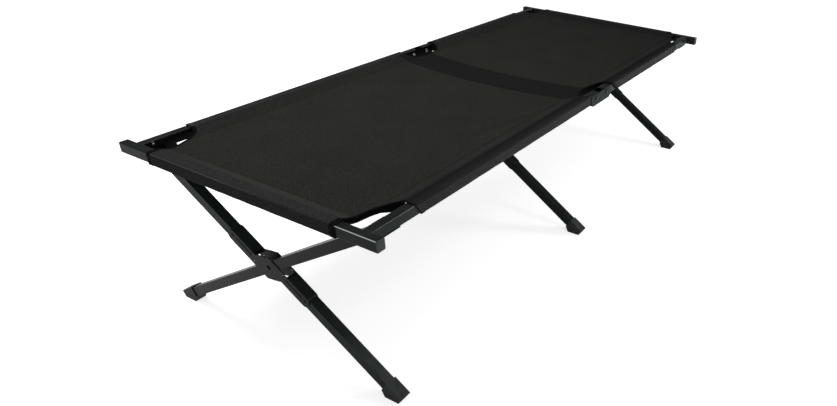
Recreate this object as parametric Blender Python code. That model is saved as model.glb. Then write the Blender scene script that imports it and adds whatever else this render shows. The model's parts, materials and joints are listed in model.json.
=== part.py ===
"""Folding camping cot: two hinged side rails on three crossed leg pairs, two end bars, a fabric bed.

Metres, +Z up. X runs along the cot from the foot end (-X) to the head end (+X), Y across it with
+Y on the sleeper's left. The origin is on the floor under the middle of the frame.
"""

import math

import bmesh
import bpy
from mathutils import Vector

# Frame sizes
FRAME_LENGTH = 2.041
BAR_LENGTH = 0.910
BAR_OVERHANG = 0.037
BED_HEIGHT = 0.533
TUBE_HEIGHT = 0.030
TUBE_WIDTH = 0.026
TUBE_WALL = 0.0015
SHEET = 0.002

# Gaps: between pieces that touch, and round a pin that turns
GAP = 0.0003
PIN_GAP = 0.0003

# Fabric
CLOTH = 0.0025
CLOTH_EASE = 0.0006
BED_SAG = 0.004
HEM_DROP = 0.012
SIDE_HEM = 0.048
END_HEM = 0.034
CORNER_CUT_LENGTH = 0.142
CORNER_CUT_WIDTH = 0.058
MID_CUT_LENGTH = 0.176
MID_CUT_WIDTH = 0.040
CUT_STEPS = 8
BED_STEP = 0.2
BED_STEPS = 4

# Rail hinges
HINGE_X = 0.130
HINGE_SPACING = 0.077
HINGE_LENGTH = 0.150
HINGE_DROP = 0.010
HINGE_TOE_RADIUS = 0.018
HINGE_SHOULDER_RADIUS = 0.009
RAIL_STUB = 0.020

# Legs: the pivot line at the top, the crossing in the middle, the feet on the floor
LEG_HEIGHT = 0.030
LEG_DEPTH = 0.028
LEG_OFFSET = 0.018
PIVOT_INSET = 0.021
PIVOT_DROP = 0.039
CROSS_HEIGHT = 0.267
END_LEG_INSET = 0.0635
MID_LEG_X = 0.028
END_LEG_X = FRAME_LENGTH / 2 - END_LEG_INSET
LEG_SETS = (("near", -END_LEG_X, 1), ("mid", MID_LEG_X, -1), ("far", END_LEG_X, -1))

# Bracket that crosses the pair
EYE_REACH = 0.136
TUBE_START = 0.058
WEB_START = 0.065
BOSS_CORNER = (0.032, 0.018)
BOSS_SHOULDER = 0.012
ARM_START = 0.052
RIB_HALF_WIDTH = 0.0045
RIB_HEIGHT = 0.0012
RIB_END_GAP = 0.017
ARM_MARGIN = 0.0019
SHOULDER_HOLE = (0.0460, -0.0262)
SHOULDER_HOLE_RADIUS = 0.0025

# Top brackets
EAR_RADIUS = 0.011
EAR_RISE = 0.022
EAR_DROP = 0.013
EAR_GAP = 0.0005
PLATE_SHORT = 0.018
PLATE_LONG_TOP = 0.030
PLATE_LONG = 0.052
PLATE_TOP_MARGIN = 0.002
PLATE_RIVET_X = 0.026
PLATE_RIVET_DROP = 0.016

# Feet
FOOT_WALL = 0.003
FOOT_LENGTH = 0.058
FOOT_TIP_HEIGHT = 0.0035
FOOT_SOLE = 0.005
FOOT_FLAT = 0.046

# Bolts, rivets and studs
BOLT_RADIUS = 0.004
HEAD_RADIUS = 0.0070
HEAD_HEIGHT = 0.0035
RIVET_RADIUS = 0.003
RIVET_HEAD_RADIUS = 0.0062
RIVET_HEAD_HEIGHT = 0.0016
RIVET_CROWN_SHARE = 0.7
HEAD_RIM_SHARE = 0.45
HEAD_CROWN_SHARE = 0.62
RAIL_RIVET_INSET = 0.009
RAIL_RIVET_RISE = 0.004
STUD_RADIUS = 0.004
STUD_LENGTH = 0.010
STUD_CHAMFER = 0.001
STUD_HOLE_GAP = 0.0006
PLUG_DEPTH = 0.022
PLUG_FLANGE = 0.002
ROUND_STEPS = 12
ARC_STEPS = 5
TUBE_CORNER = 0.0025
CORNER_STEPS = 2

# Worked out from the sizes above
RAIL_OUTER_Y = BAR_LENGTH / 2 - BAR_OVERHANG
RAIL_INNER_Y = RAIL_OUTER_Y - TUBE_WIDTH
RAIL_Y = RAIL_OUTER_Y - TUBE_WIDTH / 2
RAIL_BOTTOM = BED_HEIGHT - TUBE_HEIGHT
RAIL_Z = BED_HEIGHT - TUBE_HEIGHT / 2
BAR_OUTER_X = FRAME_LENGTH / 2
BAR_INNER_X = BAR_OUTER_X - TUBE_WIDTH
RAIL_END_X = BAR_INNER_X - GAP - PLUG_FLANGE - GAP
FOOT_BOLT_X = HINGE_X - HINGE_SPACING / 2
HEAD_BOLT_X = HINGE_X + HINGE_SPACING / 2
PIVOT_Y = RAIL_INNER_Y - PIVOT_INSET
PIVOT_Z = BED_HEIGHT - PIVOT_DROP
PIVOT_REACH = math.hypot(PIVOT_Y, PIVOT_Z - CROSS_HEIGHT)
LEG_SLOPE = math.atan2(PIVOT_Z - CROSS_HEIGHT, PIVOT_Y)
SPLIT_LEG_SLOPE = LEG_SLOPE + math.asin(LEG_OFFSET / PIVOT_REACH)
PIVOT_ALONG = math.sqrt(PIVOT_REACH ** 2 - LEG_OFFSET ** 2)
FLANGE_INNER = LEG_DEPTH / 2 + GAP
FLANGE_OUTER = FLANGE_INNER + SHEET
ARM_HALF = LEG_HEIGHT / 2 + ARM_MARGIN
SLEEVE_OUT = CLOTH_EASE + CLOTH


# Materials

def finish(name, colour, roughness, metallic):
    """A plain Principled material: colour in linear RGB."""
    material = bpy.data.materials.new(name)
    material.use_nodes = True
    shader = material.node_tree.nodes["Principled BSDF"]
    shader.inputs["Base Color"].default_value = (*colour, 1.0)
    shader.inputs["Roughness"].default_value = roughness
    shader.inputs["Metallic"].default_value = metallic
    material.diffuse_color = (*colour, 1.0)
    return material


def clear_scene():
    for thing in list(bpy.data.objects):
        bpy.data.objects.remove(thing)


# Outlines in two dimensions

def box_outline(low, high):
    return [(low[0], low[1]), (high[0], low[1]), (high[0], high[1]), (low[0], high[1])]


def rounded_outline(low, high, radii):
    """A box outline with one corner radius each for bottom-left, bottom-right, top-right, top-left."""
    corners = ((low[0], low[1], 180), (high[0], low[1], 270), (high[0], high[1], 0), (low[0], high[1], 90))
    points = []
    for (x, z, start), radius in zip(corners, radii):
        if radius == 0:
            points.append((x, z))
            continue
        centre_x = x + radius * (1 if x == low[0] else -1)
        centre_z = z + radius * (1 if z == low[1] else -1)
        for step in range(ARC_STEPS + 1):
            angle = math.radians(start + 90 * step / ARC_STEPS)
            points.append((centre_x + radius * math.cos(angle), centre_z + radius * math.sin(angle)))
    return points


def arc(centre, radius, start, end, steps=ARC_STEPS):
    """Points on an arc, angles in radians, both ends included."""
    points = []
    for step in range(steps + 1):
        angle = start + (end - start) * step / steps
        points.append((centre[0] + radius * math.cos(angle), centre[1] + radius * math.sin(angle)))
    return points


def clip_above(outline, height):
    """The part of a convex (y, z) outline that lies above a height."""
    kept = []
    for here, there in zip(outline, outline[1:] + outline[:1]):
        if here[1] >= height:
            kept.append(here)
        if (here[1] - height) * (there[1] - height) < 0:
            share = (height - here[1]) / (there[1] - here[1])
            kept.append((here[0] + share * (there[0] - here[0]), height))
    return kept


# Solids

def prism(bm, axis, outline, low, high):
    """Extrude an outline along X (outline in y, z) or along Y (outline in x, z)."""
    place = {
        "X": lambda point, depth: (depth, point[0], point[1]),
        "Y": lambda point, depth: (point[0], depth, point[1]),
    }[axis]
    bottom = [bm.verts.new(place(point, low)) for point in outline]
    top = [bm.verts.new(place(point, high)) for point in outline]
    faces = [bm.faces.new(bottom), bm.faces.new(top)]
    for index in range(len(outline)):
        after = (index + 1) % len(outline)
        faces.append(bm.faces.new((bottom[index], bottom[after], top[after], top[index])))
    bmesh.ops.recalc_face_normals(bm, faces=faces)
    return faces


def turned(bm, axis, centre, profile):
    """Turn (distance along the axis, radius) pairs round an axis through a centre, ends closed."""
    def place(along, radius, angle):
        across = (radius * math.cos(angle), radius * math.sin(angle))
        if axis == "X":
            return (centre[0] + along, centre[1] + across[0], centre[2] + across[1])
        return (centre[0] + across[0], centre[1] + along, centre[2] + across[1])

    rings = []
    for along, radius in profile:
        ring = []
        for step in range(ROUND_STEPS):
            ring.append(bm.verts.new(place(along, radius, 2 * math.pi * step / ROUND_STEPS)))
        rings.append(ring)
    faces = [bm.faces.new(rings[0]), bm.faces.new(rings[-1])]
    for first, second in zip(rings, rings[1:]):
        for step in range(ROUND_STEPS):
            after = (step + 1) % ROUND_STEPS
            faces.append(bm.faces.new((first[step], first[after], second[after], second[step])))
    bmesh.ops.recalc_face_normals(bm, faces=faces)
    return faces


def rod(bm, axis, centre, radius, half_length):
    turned(bm, axis, centre, [(-half_length, radius), (half_length, radius)])


def headed_pin(bm, axis, centre, radius, half_grip, head_radius, head_height):
    """A shank with a domed head at each end, the heads seated on the grip."""
    rim = head_height * HEAD_RIM_SHARE
    crown = head_radius * HEAD_CROWN_SHARE
    profile = [
        (-half_grip - head_height, crown),
        (-half_grip - rim, head_radius),
        (-half_grip, head_radius),
        (-half_grip, radius),
        (half_grip, radius),
        (half_grip, head_radius),
        (half_grip + rim, head_radius),
        (half_grip + head_height, crown),
    ]
    turned(bm, axis, centre, profile)


def make(name, material, origin, build, smooth=False):
    """One named piece: build fills a mesh in world places, which is then seated on its origin."""
    bm = bmesh.new()
    build(bm)
    bmesh.ops.translate(bm, verts=bm.verts, vec=-Vector(origin))
    mesh = bpy.data.meshes.new(name)
    bm.to_mesh(mesh)
    bm.free()
    piece = bpy.data.objects.new(name, mesh)
    piece.location = origin
    bpy.context.scene.collection.objects.link(piece)
    if material:
        mesh.materials.append(material)
    if smooth:
        mesh.shade_smooth()
        mesh.set_sharp_from_angle(angle=math.radians(35))
    return piece


def combine(piece, operation, label, build):
    """Cut a shape out of a piece, or join one to it, with an exact Boolean."""
    tool = make(piece.name + "_" + label, None, piece.location, build)
    tool.hide_render = True
    tool.display_type = "WIRE"
    change = piece.modifiers.new(label, "BOOLEAN")
    change.operation = operation
    change.solver = "EXACT"
    change.object = tool


# Rectangular tubes

def tube_outline(centre, size, shrink=0.0, corner=TUBE_CORNER):
    """The rounded outline of a tube, in the plane across it."""
    half = (size[0] / 2 - shrink, size[1] / 2 - shrink)
    radius = max(corner - shrink, 0.0004)
    points = []
    for index, (sign_a, sign_b) in enumerate(((-1, -1), (1, -1), (1, 1), (-1, 1))):
        middle = (centre[0] + sign_a * (half[0] - radius), centre[1] + sign_b * (half[1] - radius))
        start = math.radians(180 + 90 * index)
        points += arc(middle, radius, start, start + math.pi / 2, CORNER_STEPS)
    return points


def side_sign(side):
    return 1 if side == "left" else -1


def rail(side, half, steel):
    """One half of a side rail: an open tube with its hinge bolt hole and the rivet of its end fitting."""
    y = side_sign(side) * RAIL_Y
    if half == "foot":
        low, high, bolt_x, rivet_x = -RAIL_END_X, FOOT_BOLT_X + RAIL_STUB, FOOT_BOLT_X, -RAIL_END_X + RAIL_RIVET_INSET
    else:
        low, high, bolt_x, rivet_x = HEAD_BOLT_X - RAIL_STUB, RAIL_END_X, HEAD_BOLT_X, RAIL_END_X - RAIL_RIVET_INSET
    size = (TUBE_WIDTH, TUBE_HEIGHT)
    piece = make(f"rail_{side}_{half}", steel, (bolt_x, y, RAIL_Z),
                 lambda bm: prism(bm, "X", tube_outline((y, RAIL_Z), size), low, high))
    combine(piece, "DIFFERENCE", "bore",
            lambda bm: prism(bm, "X", tube_outline((y, RAIL_Z), size, TUBE_WALL), low - SHEET, high + SHEET))
    combine(piece, "DIFFERENCE", "bolt_hole",
            lambda bm: rod(bm, "Y", (bolt_x, y, RAIL_Z), BOLT_RADIUS + PIN_GAP, TUBE_WIDTH))
    inner_face = side_sign(side) * RAIL_INNER_Y
    inward = -side_sign(side)

    def rivet(bm):
        turned(bm, "Y", (rivet_x, inner_face, RAIL_Z + RAIL_RIVET_RISE),
               [(-inward * TUBE_WALL / 2, RIVET_HEAD_RADIUS), (inward * RIVET_HEAD_HEIGHT / 2, RIVET_HEAD_RADIUS),
                (inward * RIVET_HEAD_HEIGHT, RIVET_HEAD_RADIUS * RIVET_CROWN_SHARE)])

    combine(piece, "UNION", "rivet", rivet)
    return piece


def end_fitting(side, half, plastic):
    """Plug in the end of a rail: a flange against the tube and the stud that the end bar hooks on."""
    y = side_sign(side) * RAIL_Y
    away = -1 if half == "foot" else 1
    seat = away * (RAIL_END_X + GAP)
    face = away * (RAIL_END_X + GAP + PLUG_FLANGE)
    size = (TUBE_WIDTH, TUBE_HEIGHT)

    def body(bm):
        prism(bm, "X", tube_outline((y, RAIL_Z), size), *sorted((seat, face)))

    piece = make(f"end_fitting_{side}_{half}", plastic, (face, y, RAIL_Z), body)
    combine(piece, "UNION", "insert",
            lambda bm: prism(bm, "X", tube_outline((y, RAIL_Z), size, TUBE_WALL + GAP),
                             *sorted((seat - away * PLUG_DEPTH, seat + away * PLUG_FLANGE / 2))))

    def stud(bm):
        root = -away * PLUG_FLANGE
        tip = away * STUD_LENGTH
        turned(bm, "X", (face, y, RAIL_Z),
               [(root, STUD_RADIUS), (tip - away * STUD_CHAMFER, STUD_RADIUS), (tip, STUD_RADIUS - STUD_CHAMFER)])

    combine(piece, "UNION", "stud", stud)
    return piece


# End bars

def end_bar(half, steel):
    """The bar across one end, with a hole in its inner wall for each rail's stud."""
    away = -1 if half == "foot" else 1
    x = away * (BAR_OUTER_X - TUBE_WIDTH / 2)
    reach = BAR_LENGTH / 2 - PLUG_FLANGE - GAP
    size = (TUBE_WIDTH, TUBE_HEIGHT)
    piece = make(f"end_bar_{half}", steel, (x, 0, RAIL_Z),
                 lambda bm: prism(bm, "Y", tube_outline((x, RAIL_Z), size), -reach, reach))
    combine(piece, "DIFFERENCE", "bore",
            lambda bm: prism(bm, "Y", tube_outline((x, RAIL_Z), size, TUBE_WALL), -reach - SHEET, reach + SHEET))

    def stud_holes(bm):
        for side in ("left", "right"):
            centre = (away * BAR_INNER_X, side_sign(side) * RAIL_Y, RAIL_Z)
            rod(bm, "X", centre, STUD_RADIUS + STUD_HOLE_GAP, TUBE_WALL * 2)

    combine(piece, "DIFFERENCE", "stud_holes", stud_holes)
    return piece


def bar_plug(side, half, plastic):
    away = -1 if half == "foot" else 1
    x = away * (BAR_OUTER_X - TUBE_WIDTH / 2)
    outward = side_sign(side)
    seat = outward * (BAR_LENGTH / 2 - PLUG_FLANGE)
    end = outward * BAR_LENGTH / 2
    size = (TUBE_WIDTH, TUBE_HEIGHT)
    piece = make(f"bar_plug_{side}_{half}", plastic, (x, seat, RAIL_Z),
                 lambda bm: prism(bm, "Y", tube_outline((x, RAIL_Z), size), *sorted((seat, end))))
    combine(piece, "UNION", "insert",
            lambda bm: prism(bm, "Y", tube_outline((x, RAIL_Z), size, TUBE_WALL + GAP),
                             *sorted((seat - outward * PLUG_DEPTH, seat + outward * PLUG_FLANGE / 2))))
    return piece


# Rail hinges

def hinge_link(side, steel):
    """The deep channel that joins the two halves of a rail and lets them fold up on two bolts."""
    y = side_sign(side) * RAIL_Y
    inner = TUBE_WIDTH / 2 + GAP
    low = (HINGE_X - HINGE_LENGTH / 2, RAIL_BOTTOM - HINGE_DROP - SHEET)
    high = (HINGE_X + HINGE_LENGTH / 2, BED_HEIGHT - TUBE_WALL)
    radii = (HINGE_TOE_RADIUS, HINGE_TOE_RADIUS, HINGE_SHOULDER_RADIUS, HINGE_SHOULDER_RADIUS)
    outline = rounded_outline(low, high, radii)
    piece = make(f"hinge_link_{side}", steel, (FOOT_BOLT_X, y, RAIL_Z),
                 lambda bm: prism(bm, "Y", outline, y - inner - SHEET, y + inner + SHEET))
    hollow = box_outline((low[0] - SHEET, low[1] + SHEET), (high[0] + SHEET, high[1] + SHEET))
    combine(piece, "DIFFERENCE", "channel", lambda bm: prism(bm, "Y", hollow, y - inner, y + inner))

    def bolt_holes(bm):
        for x in (FOOT_BOLT_X, HEAD_BOLT_X):
            rod(bm, "Y", (x, y, RAIL_Z), BOLT_RADIUS + PIN_GAP, TUBE_WIDTH)

    combine(piece, "DIFFERENCE", "bolt_holes", bolt_holes)
    return piece


def hinge_bolt(side, half, zinc):
    y = side_sign(side) * RAIL_Y
    x = FOOT_BOLT_X if half == "foot" else HEAD_BOLT_X
    grip = TUBE_WIDTH / 2 + GAP + SHEET + GAP
    return make(f"hinge_bolt_{side}_{half}", zinc, (x, y, RAIL_Z),
                lambda bm: headed_pin(bm, "Y", (x, y, RAIL_Z), BOLT_RADIUS, grip, HEAD_RADIUS, HEAD_HEIGHT),
                smooth=True)


# Legs. Each pair is drawn in the (y, z) plane: along is measured up a leg from the crossing,
# over is measured square to it, towards the upper side.

def leg_point(slope, mirror, along, over):
    """A place on a leg that climbs to the left (mirror 1) or to the right (mirror -1)."""
    y = along * math.cos(slope) - over * math.sin(slope)
    z = along * math.sin(slope) + over * math.cos(slope)
    return (mirror * y, CROSS_HEIGHT + z)


def on_leg(slope, mirror, points):
    return [leg_point(slope, mirror, along, over) for along, over in points]


def foot_end(slope, shift):
    """How far below the crossing a leg runs for its foot to reach the floor."""
    return (CROSS_HEIGHT + shift * math.cos(slope) - FOOT_TIP_HEIGHT) / math.sin(slope)


def split_leg_upper(name, x, steel):
    """Upper half of the split leg: from the cross bracket up to the left rail's pivot."""
    half = LEG_HEIGHT / 2
    top = arc((PIVOT_ALONG, -LEG_OFFSET), half, -math.pi / 2, math.pi / 2, ARC_STEPS * 2)
    shape = [(TUBE_START, -LEG_OFFSET + half), (TUBE_START, -LEG_OFFSET - half)] + top
    piece = make(f"leg_split_upper_{name}", steel, (x, PIVOT_Y, PIVOT_Z),
                 lambda bm: prism(bm, "X", on_leg(SPLIT_LEG_SLOPE, 1, shape), x - LEG_DEPTH / 2, x + LEG_DEPTH / 2))
    bore = box_outline((TUBE_START - SHEET, -LEG_OFFSET - half + TUBE_WALL),
                       (PIVOT_ALONG - half, -LEG_OFFSET + half - TUBE_WALL))
    wall = LEG_DEPTH / 2 - TUBE_WALL
    combine(piece, "DIFFERENCE", "bore",
            lambda bm: prism(bm, "X", on_leg(SPLIT_LEG_SLOPE, 1, bore), x - wall, x + wall))

    def holes(bm):
        eye = leg_point(SPLIT_LEG_SLOPE, 1, EYE_REACH, -LEG_OFFSET)
        rod(bm, "X", (x, PIVOT_Y, PIVOT_Z), BOLT_RADIUS + PIN_GAP, LEG_DEPTH)
        rod(bm, "X", (x, eye[0], eye[1]), RIVET_RADIUS + PIN_GAP, LEG_DEPTH)

    combine(piece, "DIFFERENCE", "holes", holes)
    return piece


def lower_tube(piece_name, x, slope, mirror, shift, start, holes, material, origin):
    """A leg tube that runs down to its foot, cut level above the sole."""
    half = LEG_HEIGHT / 2
    end = foot_end(slope, shift) - FOOT_WALL
    shape = clip_above(on_leg(slope, mirror, start(half) + [(-end, shift - half), (-end, shift + half)]), FOOT_SOLE)
    piece = make(piece_name, material, origin,
                 lambda bm: prism(bm, "X", shape, x - LEG_DEPTH / 2, x + LEG_DEPTH / 2))
    wall = LEG_DEPTH / 2 - TUBE_WALL
    inner = start(half - TUBE_WALL, TUBE_WALL)
    inner += [(-end - LEG_HEIGHT, shift - half + TUBE_WALL), (-end - LEG_HEIGHT, shift + half - TUBE_WALL)]
    combine(piece, "DIFFERENCE", "bore", lambda bm: prism(bm, "X", on_leg(slope, mirror, inner), x - wall, x + wall))
    combine(piece, "DIFFERENCE", "holes", holes)
    return piece


def split_leg_lower(name, x, steel):
    """Lower half of the split leg: from the cross bracket down to the right foot."""
    def start(half, inset=0.0):
        reach = -TUBE_START + (SHEET if inset else 0.0)
        return [(reach, LEG_OFFSET + half), (reach, LEG_OFFSET - half)]

    def holes(bm):
        eye = leg_point(SPLIT_LEG_SLOPE, 1, -EYE_REACH, LEG_OFFSET)
        rod(bm, "X", (x, eye[0], eye[1]), RIVET_RADIUS + PIN_GAP, LEG_DEPTH)

    return lower_tube(f"leg_split_lower_{name}", x, SPLIT_LEG_SLOPE, 1, LEG_OFFSET, start, holes, steel,
                      (x, PIVOT_Y, PIVOT_Z))


def through_leg(name, x, steel):
    """The straight leg: through the cross bracket, from the right rail's pivot to the left foot."""
    def start(half, inset=0.0):
        if inset:
            return box_outline((0.0, -half), (PIVOT_REACH - LEG_HEIGHT / 2, half))[1:3][::-1]
        return arc((PIVOT_REACH, 0.0), half, math.pi / 2, -math.pi / 2, ARC_STEPS * 2)

    def holes(bm):
        rod(bm, "X", (x, -PIVOT_Y, PIVOT_Z), BOLT_RADIUS + PIN_GAP, LEG_DEPTH)
        rod(bm, "X", (x, 0.0, CROSS_HEIGHT), BOLT_RADIUS + PIN_GAP, LEG_DEPTH)

    return lower_tube(f"leg_through_{name}", x, LEG_SLOPE, -1, 0.0, start, holes, steel, (x, 0.0, CROSS_HEIGHT))


def foot_cap(piece_name, x, slope, mirror, shift, plastic, origin):
    """Moulded cap on a leg: a pocket for the tube and a flat sole on the floor."""
    half = LEG_HEIGHT / 2
    outer = half + FOOT_WALL
    end = foot_end(slope, shift)
    heel = clip_above(on_leg(slope, mirror, [(-end, shift - outer), (-end, shift + outer)]) +
                      on_leg(slope, mirror, [(-end + FOOT_LENGTH, shift + outer),
                                             (-end + FOOT_LENGTH, shift - outer)]), 0.0)
    floor_points = sorted((point for point in heel if abs(point[1]) < GAP / 10), key=lambda point: abs(point[0]))
    toe = floor_points[-1]
    inner_toe = (toe[0] - math.copysign(FOOT_FLAT, toe[0]), 0.0)
    index = heel.index(floor_points[0])
    heel[index] = inner_toe
    piece = make(piece_name, plastic, origin,
                 lambda bm: prism(bm, "X", heel, x - LEG_DEPTH / 2 - FOOT_WALL, x + LEG_DEPTH / 2 + FOOT_WALL))
    pocket = [(-end + FOOT_WALL - GAP, shift - half - GAP), (-end + FOOT_WALL - GAP, shift + half + GAP),
              (-end + FOOT_LENGTH * 2, shift + half + GAP), (-end + FOOT_LENGTH * 2, shift - half - GAP)]
    room = clip_above(on_leg(slope, mirror, pocket), FOOT_SOLE - GAP)
    combine(piece, "DIFFERENCE", "pocket",
            lambda bm: prism(bm, "X", room, x - LEG_DEPTH / 2 - GAP, x + LEG_DEPTH / 2 + GAP))
    return piece


def cross_bracket(name, x, steel):
    """The stamped S bracket: two flanges astride the through leg, riveted to both halves of the split leg."""
    arm_low = -LEG_OFFSET - ARM_HALF
    arm_high = -LEG_OFFSET + ARM_HALF
    half_shape = [(BOSS_SHOULDER, -arm_low), BOSS_CORNER, (ARM_START, arm_high)]
    half_shape += arc((EYE_REACH, -LEG_OFFSET), ARM_HALF, math.pi / 2, -math.pi / 2, ARC_STEPS * 2)
    outline = half_shape + [(-along, -over) for along, over in half_shape]
    piece = make(f"cross_bracket_{name}", steel, (x, PIVOT_Y, PIVOT_Z),
                 lambda bm: prism(bm, "X", on_leg(SPLIT_LEG_SLOPE, 1, outline), x - FLANGE_OUTER, x + FLANGE_OUTER))
    web_upper = -LEG_OFFSET + LEG_HEIGHT / 2 + GAP
    web_lower = LEG_OFFSET + LEG_HEIGHT / 2 + GAP
    far = EYE_REACH * 2
    hollow = [(-far, arm_low * 2), (far, arm_low * 2), (far, web_upper), (WEB_START, web_upper),
              (WEB_START, far), (-WEB_START, far), (-WEB_START, web_lower), (-far, web_lower)]
    combine(piece, "DIFFERENCE", "hollow",
            lambda bm: prism(bm, "X", on_leg(SPLIT_LEG_SLOPE, 1, hollow), x - FLANGE_INNER, x + FLANGE_INNER))
    combine(piece, "DIFFERENCE", "bolt_hole",
            lambda bm: rod(bm, "X", (x, 0.0, CROSS_HEIGHT), BOLT_RADIUS + PIN_GAP, LEG_DEPTH))

    def shoulder_holes(bm):
        for sign in (1, -1):
            hole = leg_point(SPLIT_LEG_SLOPE, 1, SHOULDER_HOLE[0] * sign, SHOULDER_HOLE[1] * sign)
            rod(bm, "X", (x, hole[0], hole[1]), SHOULDER_HOLE_RADIUS, LEG_DEPTH)

    combine(piece, "DIFFERENCE", "shoulder_holes", shoulder_holes)

    def ribs(bm):
        right_angle = math.pi / 2
        near_end = arc((WEB_START, -LEG_OFFSET), RIB_HALF_WIDTH, right_angle, 3 * right_angle)
        far_end = arc((EYE_REACH - RIB_END_GAP, -LEG_OFFSET), RIB_HALF_WIDTH, -right_angle, right_angle)
        upper_rib = near_end + far_end
        for outline in (upper_rib, [(-along, -over) for along, over in upper_rib]):
            rib = on_leg(SPLIT_LEG_SLOPE, 1, outline)
            for face in (-1, 1):
                inside = x + face * (FLANGE_OUTER - SHEET / 2)
                outside = x + face * (FLANGE_OUTER + RIB_HEIGHT)
                prism(bm, "X", rib, *sorted((inside, outside)))

    combine(piece, "UNION", "ribs", ribs)

    def rivets(bm):
        for along, over in ((EYE_REACH, -LEG_OFFSET), (-EYE_REACH, LEG_OFFSET)):
            eye = leg_point(SPLIT_LEG_SLOPE, 1, along, over)
            headed_pin(bm, "X", (x, eye[0], eye[1]), RIVET_RADIUS, FLANGE_OUTER - SHEET / 2,
                       RIVET_HEAD_RADIUS, SHEET / 2 + RIVET_HEAD_HEIGHT)

    combine(piece, "UNION", "rivets", rivets)
    return piece


def cross_bolt(name, x, zinc):
    centre = (x, 0.0, CROSS_HEIGHT)
    return make(f"cross_bolt_{name}", zinc, centre,
                lambda bm: headed_pin(bm, "X", centre, BOLT_RADIUS, FLANGE_OUTER + GAP, HEAD_RADIUS, HEAD_HEIGHT),
                smooth=True)


# Top brackets: a plate on the rail's inner face, a lip under the rail, two ears for a leg's top

def top_bracket(side, name, x, long_way, steel):
    sign = side_sign(side)
    ear_inner = LEG_DEPTH / 2 + EAR_GAP
    ear_outer = ear_inner + SHEET

    def inboard(depth):
        return sign * (RAIL_INNER_Y - depth)

    nose = arc((PIVOT_INSET, PIVOT_Z), EAR_RADIUS, math.pi / 2, -math.pi / 2, ARC_STEPS * 2)
    profile = [(GAP, PIVOT_Z - EAR_DROP), (GAP, PIVOT_Z + EAR_RISE)] + nose
    ears = [(inboard(depth), z) for depth, z in profile]
    piece = make(f"top_bracket_{side}_{name}", steel, (x, sign * PIVOT_Y, PIVOT_Z),
                 lambda bm: prism(bm, "X", ears, x - ear_outer, x + ear_outer))
    slot_near, slot_far = inboard(GAP + SHEET), inboard(PIVOT_INSET * 2)
    slot = box_outline((min(slot_near, slot_far), PIVOT_Z - LEG_HEIGHT * 2),
                       (max(slot_near, slot_far), PIVOT_Z + LEG_HEIGHT * 2))
    combine(piece, "DIFFERENCE", "slot", lambda bm: prism(bm, "X", slot, x - ear_inner, x + ear_inner))
    top = BED_HEIGHT - PLATE_TOP_MARGIN
    bottom = PIVOT_Z - EAR_DROP
    plate = [(x - long_way * PLATE_SHORT, bottom), (x + long_way * PLATE_LONG, bottom),
             (x + long_way * PLATE_LONG, RAIL_BOTTOM), (x + long_way * PLATE_LONG_TOP, top),
             (x - long_way * PLATE_SHORT, top)]
    combine(piece, "UNION", "plate",
            lambda bm: prism(bm, "Y", plate, *sorted((inboard(GAP), inboard(GAP + SHEET)))))
    lip = box_outline((min(inboard(GAP + SHEET / 2), sign * RAIL_OUTER_Y), RAIL_BOTTOM - GAP - SHEET),
                      (max(inboard(GAP + SHEET / 2), sign * RAIL_OUTER_Y), RAIL_BOTTOM - GAP))
    lip_ends = sorted((x - long_way * PLATE_SHORT, x + long_way * PLATE_LONG))
    combine(piece, "UNION", "lip", lambda bm: prism(bm, "X", lip, *lip_ends))
    combine(piece, "DIFFERENCE", "bolt_hole",
            lambda bm: rod(bm, "X", (x, sign * PIVOT_Y, PIVOT_Z), BOLT_RADIUS + PIN_GAP, LEG_DEPTH))
    rivet_x = x + long_way * PLATE_RIVET_X

    def rivet(bm):
        turned(bm, "Y", (rivet_x, inboard(GAP + SHEET / 2), BED_HEIGHT - PLATE_RIVET_DROP),
               [(0.0, RIVET_HEAD_RADIUS), (-sign * (SHEET / 2 + RIVET_HEAD_HEIGHT / 2), RIVET_HEAD_RADIUS),
                (-sign * (SHEET / 2 + RIVET_HEAD_HEIGHT), RIVET_HEAD_RADIUS * RIVET_CROWN_SHARE)])

    combine(piece, "UNION", "rivet", rivet)
    return piece


def top_bolt(side, name, x, zinc):
    centre = (x, side_sign(side) * PIVOT_Y, PIVOT_Z)
    grip = LEG_DEPTH / 2 + EAR_GAP + SHEET + GAP
    return make(f"top_bolt_{side}_{name}", zinc, centre,
                lambda bm: headed_pin(bm, "X", centre, BOLT_RADIUS, grip, HEAD_RADIUS, HEAD_HEIGHT), smooth=True)


# Fabric

def sleeve_outline(centre, shrink):
    size = (TUBE_WIDTH + 2 * SLEEVE_OUT, TUBE_HEIGHT + 2 * SLEEVE_OUT)
    return tube_outline(centre, size, shrink, TUBE_CORNER + SLEEVE_OUT)


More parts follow.
